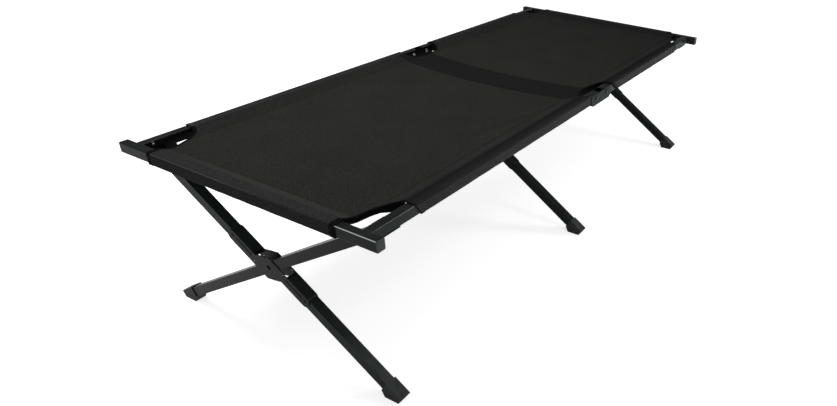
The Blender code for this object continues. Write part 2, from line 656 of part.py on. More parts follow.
def side_sleeve(side, half, cloth):
    """The pocket of cloth round one half of a rail. Beside the mid legs its inner and lower walls are cut away."""
    sign = side_sign(side)
    y = sign * RAIL_Y
    end = BAR_INNER_X - CORNER_CUT_LENGTH
    if half == "foot":
        low, high, origin_x = -end, HINGE_X - MID_CUT_LENGTH / 2, FOOT_BOLT_X
    else:
        low, high, origin_x = HINGE_X + MID_CUT_LENGTH / 2, end, HEAD_BOLT_X
    piece = make(f"side_sleeve_{side}_{half}", cloth, (origin_x, y, RAIL_Z),
                 lambda bm: prism(bm, "X", sleeve_outline((y, RAIL_Z), 0.0), low, high))
    combine(piece, "DIFFERENCE", "pocket",
            lambda bm: prism(bm, "X", sleeve_outline((y, RAIL_Z), CLOTH), low - SHEET, high + SHEET))
    if half == "foot":
        open_from = MID_LEG_X - PLATE_LONG - CLOTH
        edge = sorted((sign * (RAIL_INNER_Y - SLEEVE_OUT * 2), sign * (RAIL_OUTER_Y + CLOTH_EASE / 2)))
        notch = box_outline((edge[0], RAIL_BOTTOM - SLEEVE_OUT * 2), (edge[1], BED_HEIGHT + CLOTH_EASE / 2))
        combine(piece, "DIFFERENCE", "notch", lambda bm: prism(bm, "X", notch, open_from, high + SHEET))
    return piece


def end_sleeve(half, cloth):
    away = -1 if half == "foot" else 1
    x = away * (BAR_OUTER_X - TUBE_WIDTH / 2)
    reach = RAIL_INNER_Y - SLEEVE_OUT - CORNER_CUT_WIDTH
    piece = make(f"end_sleeve_{half}", cloth, (x, 0, RAIL_Z),
                 lambda bm: prism(bm, "Y", sleeve_outline((x, RAIL_Z), 0.0), -reach, reach))
    combine(piece, "DIFFERENCE", "pocket",
            lambda bm: prism(bm, "Y", sleeve_outline((x, RAIL_Z), CLOTH), -reach - SHEET, reach + SHEET))
    return piece


def bed_stations(end):
    """Places along the bed where it is sampled: close together at the end hems and round the cut-outs."""
    stations = [END_HEM - end, end - END_HEM]
    for step in range(CUT_STEPS + 1):
        depth = CORNER_CUT_LENGTH * math.sin(math.pi / 2 * step / CUT_STEPS)
        stations += [depth - end, end - depth, HINGE_X - MID_CUT_LENGTH / 2 * math.cos(math.pi * step / CUT_STEPS)]
    mid_low, mid_high = HINGE_X - MID_CUT_LENGTH / 2, HINGE_X + MID_CUT_LENGTH / 2
    for low, high in ((CORNER_CUT_LENGTH - end, mid_low), (mid_high, end - CORNER_CUT_LENGTH)):
        steps = round((high - low) / BED_STEP)
        stations += [low + (high - low) * step / steps for step in range(1, steps)]
    return sorted(stations)


def bed_half_width(x, end, edge):
    """Half the width of the bed at a station: the rails less the corner and mid cut-outs."""
    width = edge
    from_end = end - abs(x)
    if from_end < CORNER_CUT_LENGTH:
        width -= CORNER_CUT_WIDTH * math.sqrt(max(0.0, 1 - (from_end / CORNER_CUT_LENGTH) ** 2))
    from_hinge = abs(x - HINGE_X) / (MID_CUT_LENGTH / 2)
    if from_hinge < 1:
        width -= MID_CUT_WIDTH * math.sqrt(1 - from_hinge ** 2)
    return width


def bed_drop(x, y, end, edge):
    """How far the bed lies below the top of the tubes: down its hems, then a slight sag."""
    side = min(1.0, (edge - abs(y)) / SIDE_HEM)
    tip = min(1.0, (end - abs(x)) / END_HEM)
    return HEM_DROP * min(side, tip) + BED_SAG * (1 - (x / end) ** 2) * (1 - (y / edge) ** 2)


def bed_panel(cloth):
    """The bed: one taut sheet that drops from the tubes down its hems, cut away at corners and hinges."""
    end = BAR_INNER_X - SLEEVE_OUT - GAP
    edge = RAIL_INNER_Y - SLEEVE_OUT - GAP
    stations = bed_stations(end)
    inner = 1 - SIDE_HEM / edge
    shares = [-1.0] + [inner * step / BED_STEPS for step in range(-BED_STEPS, BED_STEPS + 1)] + [1.0]
    columns = len(shares) - 1
    top = BED_HEIGHT + SLEEVE_OUT

    def build(bm):
        upper, lower = [], []
        for x in stations:
            width = bed_half_width(x, end, edge)
            rows = ([], [])
            for share in shares:
                surface = top - bed_drop(x, share * width, end, edge)
                rows[0].append(bm.verts.new((x, share * width, surface)))
                rows[1].append(bm.verts.new((x, share * width, surface - CLOTH)))
            upper.append(rows[0])
            lower.append(rows[1])
        for station in range(len(stations) - 1):
            for column in range(columns):
                for grid in (upper, lower):
                    bm.faces.new((grid[station][column], grid[station + 1][column],
                                  grid[station + 1][column + 1], grid[station][column + 1]))
            for column in (0, columns):
                bm.faces.new((upper[station][column], upper[station + 1][column],
                              lower[station + 1][column], lower[station][column]))
        for station in (0, len(stations) - 1):
            for column in range(columns):
                bm.faces.new((upper[station][column], upper[station][column + 1],
                              lower[station][column + 1], lower[station][column]))
        bmesh.ops.recalc_face_normals(bm, faces=bm.faces)

    return make("bed_panel", cloth, (0, 0, RAIL_Z), build)


# The whole cot

def build_cot():
    clear_scene()
    steel = finish("black_coated_steel", (0.030, 0.034, 0.033), 0.42, 0.0)
    bracket_steel = finish("coated_bracket_steel", (0.036, 0.040, 0.038), 0.38, 0.0)
    zinc = finish("zinc_plated_steel", (0.55, 0.55, 0.53), 0.32, 1.0)
    plastic = finish("black_plastic", (0.012, 0.012, 0.013), 0.5, 0.0)
    cloth = finish("charcoal_polyester", (0.022, 0.022, 0.024), 0.85, 0.0)

    for half in ("foot", "head"):
        end_bar(half, steel)
        end_sleeve(half, cloth)
        for side in ("left", "right"):
            rail(side, half, steel)
            end_fitting(side, half, plastic)
            bar_plug(side, half, plastic)
            hinge_bolt(side, half, zinc)
            side_sleeve(side, half, cloth)
    for side in ("left", "right"):
        hinge_link(side, bracket_steel)

    for name, x, long_way in LEG_SETS:
        split_leg_upper(name, x, steel)
        split_leg_lower(name, x, steel)
        through_leg(name, x, steel)
        foot_cap(f"foot_right_{name}", x, SPLIT_LEG_SLOPE, 1, LEG_OFFSET, plastic, (x, PIVOT_Y, PIVOT_Z))
        foot_cap(f"foot_left_{name}", x, LEG_SLOPE, -1, 0.0, plastic, (x, 0.0, CROSS_HEIGHT))
        cross_bracket(name, x, bracket_steel)
        cross_bolt(name, x, zinc)
        for side in ("left", "right"):
            top_bracket(side, name, x, long_way, bracket_steel)
            top_bolt(side, name, x, zinc)

    bed_panel(cloth)


build_cot()
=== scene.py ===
# %% [markdown]
# # A folding camping cot
# The solid model already holds the frame with its metal and plastic pieces. What a camera also sees is
# cloth, thread, coating, plating and four small bolt heads, and this script adds those. The cloth is built
# from its own rules, the stitches come from Geometry Nodes, and every finish is a node material.

import json
import math

import bmesh
import bpy
import numpy as np
from mathutils import Matrix, Vector


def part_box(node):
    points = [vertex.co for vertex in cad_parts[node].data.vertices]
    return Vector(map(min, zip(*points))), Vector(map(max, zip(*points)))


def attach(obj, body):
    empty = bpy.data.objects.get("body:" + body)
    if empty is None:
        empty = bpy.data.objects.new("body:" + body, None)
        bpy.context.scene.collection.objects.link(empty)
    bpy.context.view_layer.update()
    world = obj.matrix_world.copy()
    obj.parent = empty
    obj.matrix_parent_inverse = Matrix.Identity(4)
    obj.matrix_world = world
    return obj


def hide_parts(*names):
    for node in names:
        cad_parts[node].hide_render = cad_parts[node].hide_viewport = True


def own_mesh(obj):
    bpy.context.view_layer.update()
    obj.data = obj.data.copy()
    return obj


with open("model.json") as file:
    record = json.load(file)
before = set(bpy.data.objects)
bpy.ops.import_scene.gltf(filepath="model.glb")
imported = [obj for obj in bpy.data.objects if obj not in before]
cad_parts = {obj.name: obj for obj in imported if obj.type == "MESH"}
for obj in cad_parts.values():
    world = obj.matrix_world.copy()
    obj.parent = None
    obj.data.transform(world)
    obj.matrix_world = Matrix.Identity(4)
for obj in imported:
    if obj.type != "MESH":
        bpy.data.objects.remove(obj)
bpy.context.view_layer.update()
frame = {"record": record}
SIDES = (("left", 1), ("right", -1))
HALVES = (("foot", -1), ("head", 1))

# %% [markdown]
# ## The camera
# The photograph was taken from beyond the foot end, above the cot and to the sleeper's right. The camera's
# place was worked out from the corners of the bars, the rails and the feet. The object sits left of the lens
# axis, as in a cropped picture, so the lens is shifted instead of turned.

# %% Camera
PHOTO_WIDTH, PHOTO_HEIGHT = 837, 406
FOCAL_PIXELS = 671.4
AXIS_OFFSET_PIXELS = (154.9, -4.1)
CAMERA_PLACE = Vector((-1.900, -1.373, 1.328))
AZIMUTH, ELEVATION, ROLL = (math.radians(v) for v in (27.13, -28.83, 3.25))

forward = Vector((math.cos(ELEVATION) * math.cos(AZIMUTH), math.cos(ELEVATION) * math.sin(AZIMUTH),
                  math.sin(ELEVATION)))
level_right = forward.cross(Vector((0, 0, 1))).normalized()
level_up = level_right.cross(forward)
right = level_right * math.cos(ROLL) + level_up * math.sin(ROLL)
up = level_up * math.cos(ROLL) - level_right * math.sin(ROLL)

lens = bpy.data.cameras.new("photo_camera")
lens.sensor_width = 36.0
lens.lens = FOCAL_PIXELS * lens.sensor_width / PHOTO_WIDTH
lens.shift_x = -AXIS_OFFSET_PIXELS[0] / PHOTO_WIDTH
lens.shift_y = AXIS_OFFSET_PIXELS[1] / PHOTO_WIDTH
lens.clip_end = 200.0
camera = bpy.data.objects.new("photo_camera", lens)
camera.matrix_world = Matrix((
    (right.x, up.x, -forward.x, CAMERA_PLACE.x),
    (right.y, up.y, -forward.y, CAMERA_PLACE.y),
    (right.z, up.z, -forward.z, CAMERA_PLACE.z),
    (0, 0, 0, 1),
))
bpy.context.scene.collection.objects.link(camera)
bpy.context.scene.camera = camera
print("camera lens", round(lens.lens, 2), "mm, photograph", PHOTO_WIDTH, "x", PHOTO_HEIGHT, "pixels")

# %% [markdown]
# ## Building node trees
# Materials and Geometry Nodes are both trees, so one small function serves both: it adds a node, sets its
# options, and fills each input with a value or with a link from another node's output.

# %% Node helper and colours
MATH, RANGE, MIX = "ShaderNodeMath", "ShaderNodeMapRange", "ShaderNodeMix"


def add(tree, kind, inputs=(), **options):
    """Add a node. Inputs come in order or by name, and a node given as an input lends its first output."""
    node = tree.nodes.new(kind)
    for name, value in options.items():
        setattr(node, name, value)
    for name, value in inputs.items() if isinstance(inputs, dict) else enumerate(inputs):
        if isinstance(value, bpy.types.Node):
            value = value.outputs[0]
        if isinstance(value, bpy.types.NodeSocket):
            tree.links.new(value, node.inputs[name])
        else:
            node.inputs[name].default_value = value
    return node


def linear(colour):
    """A colour written as an sRGB hex value, in linear light."""
    parts = [int(colour[start:start + 2], 16) / 255 for start in (1, 3, 5)]
    return tuple(p / 12.92 if p <= 0.04045 else ((p + 0.055) / 1.055) ** 2.4 for p in parts) + (1.0,)


def new_material(name):
    material = bpy.data.materials.new(name)
    material.use_nodes = True
    material.node_tree.nodes.clear()
    return material, material.node_tree


print("a middle grey in linear light is", round(linear("#808080")[0], 3))

# %% [markdown]
# ## Coated steel
# The tubes are steel with a thin black powder coat. Baked powder flows out almost smooth, with a fine orange
# peel about a millimetre across, and it shines softly. Handling leaves slightly duller clouds and a few pale
# rubs. The photograph shows three more tones whose cause can't be read from it, so masks put them where they
# are seen. Between the rails and under the bed the coat is painted almost black and mirrors less, a painted
# shade. The stampings up at the rails are duller than the crossing brackets below. The foot bar's upper
# front edge has a painted highlight on the right, a bright line. The foot bar's upper front edge has a
# bright line on the right, which may be wear or a highlight.

# %% Masks on the coat
TUBE_WIDTH = 0.026
RAIL_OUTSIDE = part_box("rail_left_foot")[1].y
RAIL_INSIDE = RAIL_OUTSIDE - TUBE_WIDTH
RAIL_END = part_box("rail_left_head")[1].x
BAR_FRONT, BAR_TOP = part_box("end_bar_foot")[0].x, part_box("end_bar_foot")[1].z
SHADED_FROM = 0.470
MASK_EDGE = 0.0003
LINE_FULL, LINE_GONE = 0.0012, 0.0022


def shaded_zone(tree, x, y, z):
    """Painted shade: 1 between the rails, between the bars and high up. Also gives the last of these by
    itself.
    """
    from_middle = add(tree, MATH, (x,), operation="ABSOLUTE")
    aside = add(tree, MATH, (y,), operation="ABSOLUTE")
    between_bars = add(tree, RANGE, (from_middle, RAIL_END - 0.001, RAIL_END, 1.0, 0.0))
    between_rails = add(tree, RANGE, (aside, RAIL_INSIDE + MASK_EDGE, RAIL_INSIDE + 2 * MASK_EDGE, 1.0, 0.0))
    high_up = add(tree, RANGE, (z, SHADED_FROM - 0.004, SHADED_FROM, 0.0, 1.0))
    zone = add(tree, MATH, (between_bars, between_rails), operation="MULTIPLY")
    return add(tree, MATH, (zone, high_up), operation="MULTIPLY"), high_up


def painted_edge_highlight(tree, x, y, z):
    """A painted highlight: 0.8 on the foot bar's upper front edge, on the right only."""
    at_front = add(tree, RANGE, (x, BAR_FRONT + LINE_FULL, BAR_FRONT + LINE_GONE, 1.0, 0.0))
    at_top = add(tree, RANGE, (z, BAR_TOP - LINE_GONE, BAR_TOP - LINE_FULL, 0.0, 1.0))
    on_right = add(tree, RANGE, (y, -0.02, 0.0, 0.8, 0.0))
    line = add(tree, MATH, (at_front, at_top), operation="MULTIPLY")
    return add(tree, MATH, (line, on_right), operation="MULTIPLY")


print("shaded coat above", SHADED_FROM, "m, rails", round(2 * RAIL_INSIDE, 4), "m apart inside")


# %% Coated tubes and stampings
def coated_steel(name, colour, rubbed, roughness, peel_mm, dull_above=False, lit_edge=False):
    material, tree = new_material(name)
    place = add(tree, "ShaderNodeTexCoord").outputs["Object"]
    cloud = add(tree, "ShaderNodeTexNoise", {"Vector": place, "Scale": 16.0, "Detail": 4.0})
    peel = add(tree, "ShaderNodeTexNoise", {"Vector": place, "Scale": 1000.0 / peel_mm, "Detail": 1.0})
    stretched = add(tree, "ShaderNodeMapping", {"Vector": place, "Scale": (90.0, 22.0, 22.0)})
    rub = add(tree, "ShaderNodeTexNoise", {
        "Vector": stretched, "Scale": 1.0, "Detail": 6.0, "Roughness": 0.7})
    rub_share = add(tree, RANGE, (rub, 0.66, 0.74, 0.0, 0.35))
    cloud_share = add(tree, RANGE, (cloud, 0.35, 0.65, 0.0, 0.3))
    x, y, z = add(tree, "ShaderNodeSeparateXYZ", (place,)).outputs
    shaded, high_up = shaded_zone(tree, x, y, z)
    # The clouds and rubs are wear of the coat; the near-black cover is painted shade.
    covers = [(cloud_share, rubbed), (rub_share, rubbed), (shaded, "#080808")]
    # A painted highlight along the foot bar's upper front edge.
    if lit_edge:
        covers.append((painted_edge_highlight(tree, x, y, z), "#d4d4d0"))
    shade = linear(colour)
    for cover, tone in covers:
        shade = add(tree, MIX, {0: cover, 6: shade, 7: linear(tone)}, data_type="RGBA").outputs[2]
    bump = add(tree, "ShaderNodeBump", {"Height": peel, "Strength": 0.25, "Distance": 0.0002})
    dulled = high_up if dull_above else shaded
    shader = add(tree, "ShaderNodeBsdfPrincipled", {
        "Base Color": shade, "Normal": bump,
        "Roughness": add(tree, RANGE, (cloud, 0.3, 0.7, roughness - 0.05, roughness + 0.07)),
        "Specular IOR Level": add(tree, RANGE, (dulled, 0.0, 1.0, 0.1, 0.035))})
    add(tree, "ShaderNodeOutputMaterial", {"Surface": shader})
    return material


tube_coat = coated_steel("satin_black_powder_coat_on_tube", "#1a1d1c", "#262b29", 0.27, 1.2, lit_edge=True)
bracket_coat = coated_steel("satin_black_powder_coat_on_stamping", "#1a1d1c", "#272c2a", 0.30, 0.9,
                            dull_above=True)
print("coated steel:", tube_coat.name, bracket_coat.name)

# %% [markdown]
# ## Zinc plate
# The bolts are zinc plated in a tumbling barrel. The plate is bright with a faint grey bloom, so its
# roughness changes in small patches while the colour stays nearly even. In the photograph the heads outside
# the rails and those at the leg crossings are as dark as the frame, so here they have the coat's colour.

# %% Zinc plated steel
CROSSINGS_BELOW = 0.400


def zinc_plate():
    material, tree = new_material("bright_zinc_plate")
    place = add(tree, "ShaderNodeTexCoord").outputs["Object"]
    bloom = add(tree, "ShaderNodeTexNoise", {"Vector": place, "Scale": 260.0, "Detail": 3.0})
    dents = add(tree, "ShaderNodeTexVoronoi", {"Vector": place, "Scale": 700.0})
    bloom_share = add(tree, RANGE, (bloom, 0.4, 0.7, 0.0, 1.0))
    plated = add(tree, MIX, {0: bloom_share, 6: linear("#d2d2cc"), 7: linear("#a9aaa6")}, data_type="RGBA")
    _, sideways, upward = add(tree, "ShaderNodeSeparateXYZ", (place,)).outputs
    aside = add(tree, MATH, (sideways,), operation="ABSOLUTE")
    inside = add(tree, RANGE, (aside, RAIL_OUTSIDE - MASK_EDGE, RAIL_OUTSIDE, 1.0, 0.0))
    at_rails = add(tree, RANGE, (upward, CROSSINGS_BELOW - 0.001, CROSSINGS_BELOW, 0.0, 1.0))
    bare = add(tree, MATH, (inside, at_rails), operation="MULTIPLY")
    shade = add(tree, MIX, {0: bare, 6: linear("#1f2422"), 7: plated.outputs[2]}, data_type="RGBA")
    bump = add(tree, "ShaderNodeBump", {"Height": dents, "Strength": 0.2, "Distance": 0.0001})
    shader = add(tree, "ShaderNodeBsdfPrincipled", {
        "Base Color": shade.outputs[2], "Metallic": bare, "Normal": bump, "Specular IOR Level": 0.2,
        "Roughness": add(tree, RANGE, (bloom, 0.3, 0.7, 0.20, 0.38))})
    add(tree, "ShaderNodeOutputMaterial", {"Surface": shader})
    return material


zinc = zinc_plate()
print("fasteners:", zinc.name)

# %% [markdown]
# ## Moulded plastic
# The feet, the rail end fittings and the bar plugs are injection moulded polypropylene. The mould is spark
# eroded, which prints a fine even grain of about half a millimetre that keeps the plastic from shining.

# %% Moulded plastic
def moulded_plastic():
    material, tree = new_material("moulded_black_polypropylene")
    place = add(tree, "ShaderNodeTexCoord").outputs["Object"]
    grain = add(tree, "ShaderNodeTexVoronoi", {"Vector": place, "Scale": 1600.0}, feature="SMOOTH_F1")
    flow = add(tree, "ShaderNodeTexNoise", {"Vector": place, "Scale": 45.0, "Detail": 3.0})
    flow_share = add(tree, RANGE, (flow, 0.35, 0.65, 0.0, 1.0))
    shade = add(tree, MIX, {0: flow_share, 6: linear("#2c2d2d"), 7: linear("#393a3a")}, data_type="RGBA")
    bump = add(tree, "ShaderNodeBump", {"Height": grain, "Strength": 0.35, "Distance": 0.0002})
    shader = add(tree, "ShaderNodeBsdfPrincipled", {
        "Base Color": shade.outputs[2], "Normal": bump, "Specular IOR Level": 0.12,
        "Roughness": add(tree, RANGE, (flow, 0.3, 0.7, 0.42, 0.56))})
    add(tree, "ShaderNodeOutputMaterial", {"Surface": shader})
    return material


plastic = moulded_plastic()
print("plastic:", plastic.name)

# %% [markdown]
# ## Woven polyester
# The bed is a coarse plain weave: each thread passes over one and under the next. Two crossed sine waves
# give exactly that pattern of raised and sunken crossings. Threads of such cloth are about 0.6 mm apart, far
# finer than a pixel here, so they are drawn coarser, 2 mm apart. The yarn is charcoal with uneven darker
# fibres, and a broad cloud keeps the large sheet from looking printed. The UV map of every cloth piece is in
# metres, so the weave keeps its size and follows the cloth round the tubes. The photograph shows a darker
# band over the middle of the bed, and a mask puts it where it is seen. Other masks paint light and shade:
# painted shade on the side hems, on the far hem and in a nearly black strip on top of the right rail's
# cloth, painted light on the near hem, and a painted highlight along the fold over the foot bar on the left.

# %% Tones of the bed
BAND_NEAR, BAND_FAR, BAND_BOW = -0.030, 0.106, 0.040
SIDE_HEM, END_HEM, RIGHT_SHADE = 0.048, 0.034, 0.020
HEM_FADE, SEAM_FULL, SEAM_GONE = 0.006, 0.0008, 0.0026
BED_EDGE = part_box("bed_panel")[1].y
BED_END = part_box("bed_panel")[1].x


def band_and_hem_shading(tree, along, across, shade):
    """The darker band over the middle of the bed, its near seam, and painted shade and light on the hems."""
    share = add(tree, MATH, (across, BED_EDGE), operation="DIVIDE")
    square = add(tree, MATH, (share, share), operation="MULTIPLY")
    bow = add(tree, MATH, (square, BAND_BOW), operation="MULTIPLY")
    bowed = add(tree, MATH, (along, bow), operation="SUBTRACT")
    past_near = add(tree, RANGE, (bowed, BAND_NEAR, BAND_NEAR + 0.001, 0.0, 0.62))
    before_far = add(tree, RANGE, (bowed, BAND_FAR - 0.001, BAND_FAR, 1.0, 0.0))
    band = add(tree, MATH, (past_near, before_far), operation="MULTIPLY")
    off_seam = add(tree, MATH, (bowed, BAND_NEAR + 0.001), operation="SUBTRACT")
    off_seam = add(tree, MATH, (off_seam,), operation="ABSOLUTE")
    seam = add(tree, RANGE, (off_seam, SEAM_FULL, SEAM_GONE, 0.8, 0.0))
    # Painted shade on the side hems and the far hem, and painted light on the near hem, where the cloth
    # slopes to the tubes.
    side_seam = BED_EDGE - SIDE_HEM
    left_hem_shade = add(tree, RANGE, (across, side_seam - HEM_FADE / 3, side_seam + 2 * HEM_FADE / 3, 0.0, 0.2))
    right_hem_shade = add(tree, RANGE, (across, -BED_EDGE, RIGHT_SHADE - BED_EDGE, 0.75, 0.0))
    near_share = add(tree, RANGE, (along, -BED_END + END_HEM - HEM_FADE, -BED_END + END_HEM, 0.34, 0.0))
    near_strength = add(tree, RANGE, (across, 0.05, 0.36, 1.0, 0.2))
    near_hem_light = add(tree, MATH, (near_share, near_strength), operation="MULTIPLY")
    far_hem_shade = add(tree, RANGE, (along, BED_END - END_HEM, BED_END - END_HEM + HEM_FADE, 0.0, 0.42))
    for cover, colour in ((band, "#0b0b0b"), (seam, "#050505"), (left_hem_shade, "#101011"),
                          (right_hem_shade, "#101011"), (near_hem_light, "#3c3c3b"), (far_hem_shade, "#101011")):
        shade = add(tree, MIX, {0: cover, 6: shade, 7: linear(colour)}, data_type="RGBA").outputs[2]
    return shade


print("band", round(BAND_FAR - BAND_NEAR, 3), "m wide, side hems", SIDE_HEM, "m")


# %% Tones of the cloth on the tubes
def rail_shade_and_fold_highlight(tree, rail_top_shade, shade):
    """Painted shade in a nearly black strip on top of the right rail's cloth, and a painted highlight on the
    foot bar's fold.
    """
    place = add(tree, "ShaderNodeTexCoord").outputs["Object"]
    x, y, z = add(tree, "ShaderNodeSeparateXYZ", (place,)).outputs
    from_middle = add(tree, MATH, (x,), operation="ABSOLUTE")
    on_rail = add(tree, RANGE, (from_middle, RAIL_END - 0.030, RAIL_END - 0.025, 1.0, 0.0))
    on_right = add(tree, RANGE, (y, -0.1, 0.0, rail_top_shade, 0.0))
    inwards = add(tree, RANGE, (y, -RAIL_OUTSIDE, -RAIL_INSIDE, 0.55, 1.0))
    on_top = add(tree, RANGE, (z, BAR_TOP - 0.003, BAR_TOP - 0.001, 0.0, 1.0))
    at_front = add(tree, RANGE, (x, BAR_FRONT - 0.0020, BAR_FRONT - 0.0005, 0.5, 0.0))
    at_edge = add(tree, RANGE, (z, BAR_TOP, BAR_TOP + 0.0015, 0.0, 1.0))
    on_left = add(tree, RANGE, (y, -0.15, 0.05, 0.0, 1.0))
    # First painted shade on the rail's top, then a painted highlight on the bar's fold.
    for shares, tone in (((on_right, inwards, on_rail, on_top), "#101011"),
                         ((at_front, at_edge, on_left), "#78746c")):
        cover = shares[0]
        for share in shares[1:]:
            cover = add(tree, MATH, (cover, share), operation="MULTIPLY")
        shade = add(tree, MIX, {0: cover, 6: shade, 7: linear(tone)}, data_type="RGBA").outputs[2]
    return shade


# %% Woven polyester
THREAD = 0.002


def woven_cloth(name, colour, fibre, with_band_and_hem_shades=False, rail_top_shade=0.0):
    material, tree = new_material(name)
    uv = add(tree, "ShaderNodeTexCoord").outputs["UV"]
    along, across, _ = add(tree, "ShaderNodeSeparateXYZ", (uv,)).outputs
    waves = []
    for way in (along, across):
        phase = add(tree, MATH, (way, math.pi / THREAD), operation="MULTIPLY")
        waves.append(add(tree, MATH, (phase,), operation="SINE"))
    crossing = add(tree, MATH, waves, operation="MULTIPLY")
    slub = add(tree, "ShaderNodeTexNoise", {"Vector": uv, "Scale": 330.0, "Detail": 2.0})
    cloud = add(tree, "ShaderNodeTexNoise", {"Vector": uv, "Scale": 7.0, "Detail": 5.0})
    mottle = add(tree, "ShaderNodeTexNoise", {"Vector": uv, "Scale": 90.0, "Detail": 3.0})
    share = 0.0
    for pattern, limits in ((crossing, (-1.0, 1.0, 0.0, 0.2)), (slub, (0.41, 0.59, -0.25, 0.95)),
                            (cloud, (0.3, 0.7, -0.1, 0.14)), (mottle, (0.3, 0.7, -0.15, 0.2))):
        share = add(tree, MATH, (share, add(tree, RANGE, (pattern,) + limits)), operation="ADD")
    shade = add(tree, MIX, {0: share, 6: linear(fibre), 7: linear(colour)}, data_type="RGBA").outputs[2]
    if with_band_and_hem_shades:
        shade = band_and_hem_shading(tree, along, across, shade)
    if rail_top_shade:
        shade = rail_shade_and_fold_highlight(tree, rail_top_shade, shade)
    rise = add(tree, MATH, (slub, 1.5, crossing), operation="MULTIPLY_ADD")
    bump = add(tree, "ShaderNodeBump", {"Height": rise, "Strength": 0.35, "Distance": 0.0004})
    shader = add(tree, "ShaderNodeBsdfPrincipled", {
        "Base Color": shade, "Normal": bump, "Specular IOR Level": 0.08,
        "Roughness": add(tree, RANGE, (slub, 0.3, 0.7, 0.78, 0.92))})
    add(tree, "ShaderNodeOutputMaterial", {"Surface": shader})
    return material


bed_cloth = woven_cloth("charcoal_plain_weave_polyester", "#2e2e2d", "#161615", with_band_and_hem_shades=True)
sleeve_cloth = woven_cloth("charcoal_plain_weave_polyester_on_tubes", "#313131", "#1a1a1a", rail_top_shade=0.92)
# Paler doubled cloth, used on the left only: partly the doubled cloth's own tone, partly painted light.
doubled_lit_cloth = woven_cloth("charcoal_plain_weave_polyester_doubled_and_lit", "#3b3b39", "#20201f")
print("weave drawn", THREAD * 1000, "mm apart")

# %% [markdown]
# ## Binding tape and thread
# The cut edges are bound with a ribbed polyester tape, smoother and blacker than the cloth. Its ribs follow
# its own UV map: across the tape on the bed, and round the tube on the collars of the pockets. The thread is
# bonded polyester, twisted, and a little lighter than the tape.

# %% Binding tape and thread
def ribbed(name, colour, groove, rib_mm, roughness, gloss):
    material, tree = new_material(name)
    uv = add(tree, "ShaderNodeTexCoord").outputs["UV"]
    along = add(tree, "ShaderNodeSeparateXYZ", (uv,))
    phase = add(tree, MATH, (along, 2000.0 * math.pi / rib_mm), operation="MULTIPLY")
    rib = add(tree, MATH, (phase,), operation="SINE")
    fuzz = add(tree, "ShaderNodeTexNoise", {"Vector": uv, "Scale": 300.0, "Detail": 3.0})
    rib_share = add(tree, RANGE, (rib, -1.0, 1.0, 0.0, 0.6))
    fuzz_share = add(tree, RANGE, (fuzz, 0.3, 0.7, 0.0, 0.4))
    share = add(tree, MATH, (rib_share, fuzz_share), operation="ADD")
    shade = add(tree, MIX, {0: share, 6: linear(groove), 7: linear(colour)}, data_type="RGBA").outputs[2]
    bump = add(tree, "ShaderNodeBump", {"Height": rib, "Strength": 0.4, "Distance": 0.0003})
    shader = add(tree, "ShaderNodeBsdfPrincipled", {
        "Base Color": shade, "Normal": bump, "Specular IOR Level": gloss,
        "Roughness": add(tree, RANGE, (fuzz, 0.3, 0.7, roughness - 0.06, roughness + 0.08))})
    add(tree, "ShaderNodeOutputMaterial", {"Surface": shader})
    return material


tape = ribbed("ribbed_polyester_binding_tape", "#0c0c0d", "#050505", 1.6, 0.7, 0.04)
thread = ribbed("twisted_bonded_polyester_thread", "#262627", "#171718", 0.8, 0.6, 0.12)
print("tape and thread:", tape.name, thread.name)

# %% [markdown]
# ## Dressing the solid pieces
# The metal and plastic solids already have the right shape, so they stay and only change their finish. The
# record says which finish each one has, and that decides its new material.

# %% Finish the solid pieces
finishes = {"coated_tube": tube_coat, "coated_bracket": bracket_coat, "zinc_fastener": zinc,
            "moulded_plastic": plastic, "bed_cloth": sleeve_cloth}
slot_of = {part["node"]: part["material_slot"] for part in frame["record"]["subparts"]}
for node, slot_name in slot_of.items():
    for place in bpy.data.objects[node].material_slots:
        place.material = finishes[slot_name]
print(len(slot_of), "solid pieces finished")

# %% [markdown]
# ## A cloth mesh from two grids
# A piece of cloth is a thin closed body: a grid for its face, the same grid moved inwards for its back, and
# narrow walls where it ends. One function makes every piece of cloth here, flat or wrapped round a tube,
# because only the places of the grid points differ.

# %% Finished mesh
def finished_piece(mesh, material, sharp_degrees):
    """Turn the faces outwards, shade them smooth up to an angle, and place the mesh at the origin."""
    bm = bmesh.new()
    bm.from_mesh(mesh)
    bmesh.ops.recalc_face_normals(bm, faces=bm.faces)
    bm.to_mesh(mesh)
    bm.free()
    mesh.materials.append(material)
    mesh.shade_smooth()
    mesh.set_sharp_from_angle(angle=math.radians(sharp_degrees))
    piece = bpy.data.objects.new(mesh.name, mesh)
    bpy.context.scene.collection.objects.link(piece)
    return piece


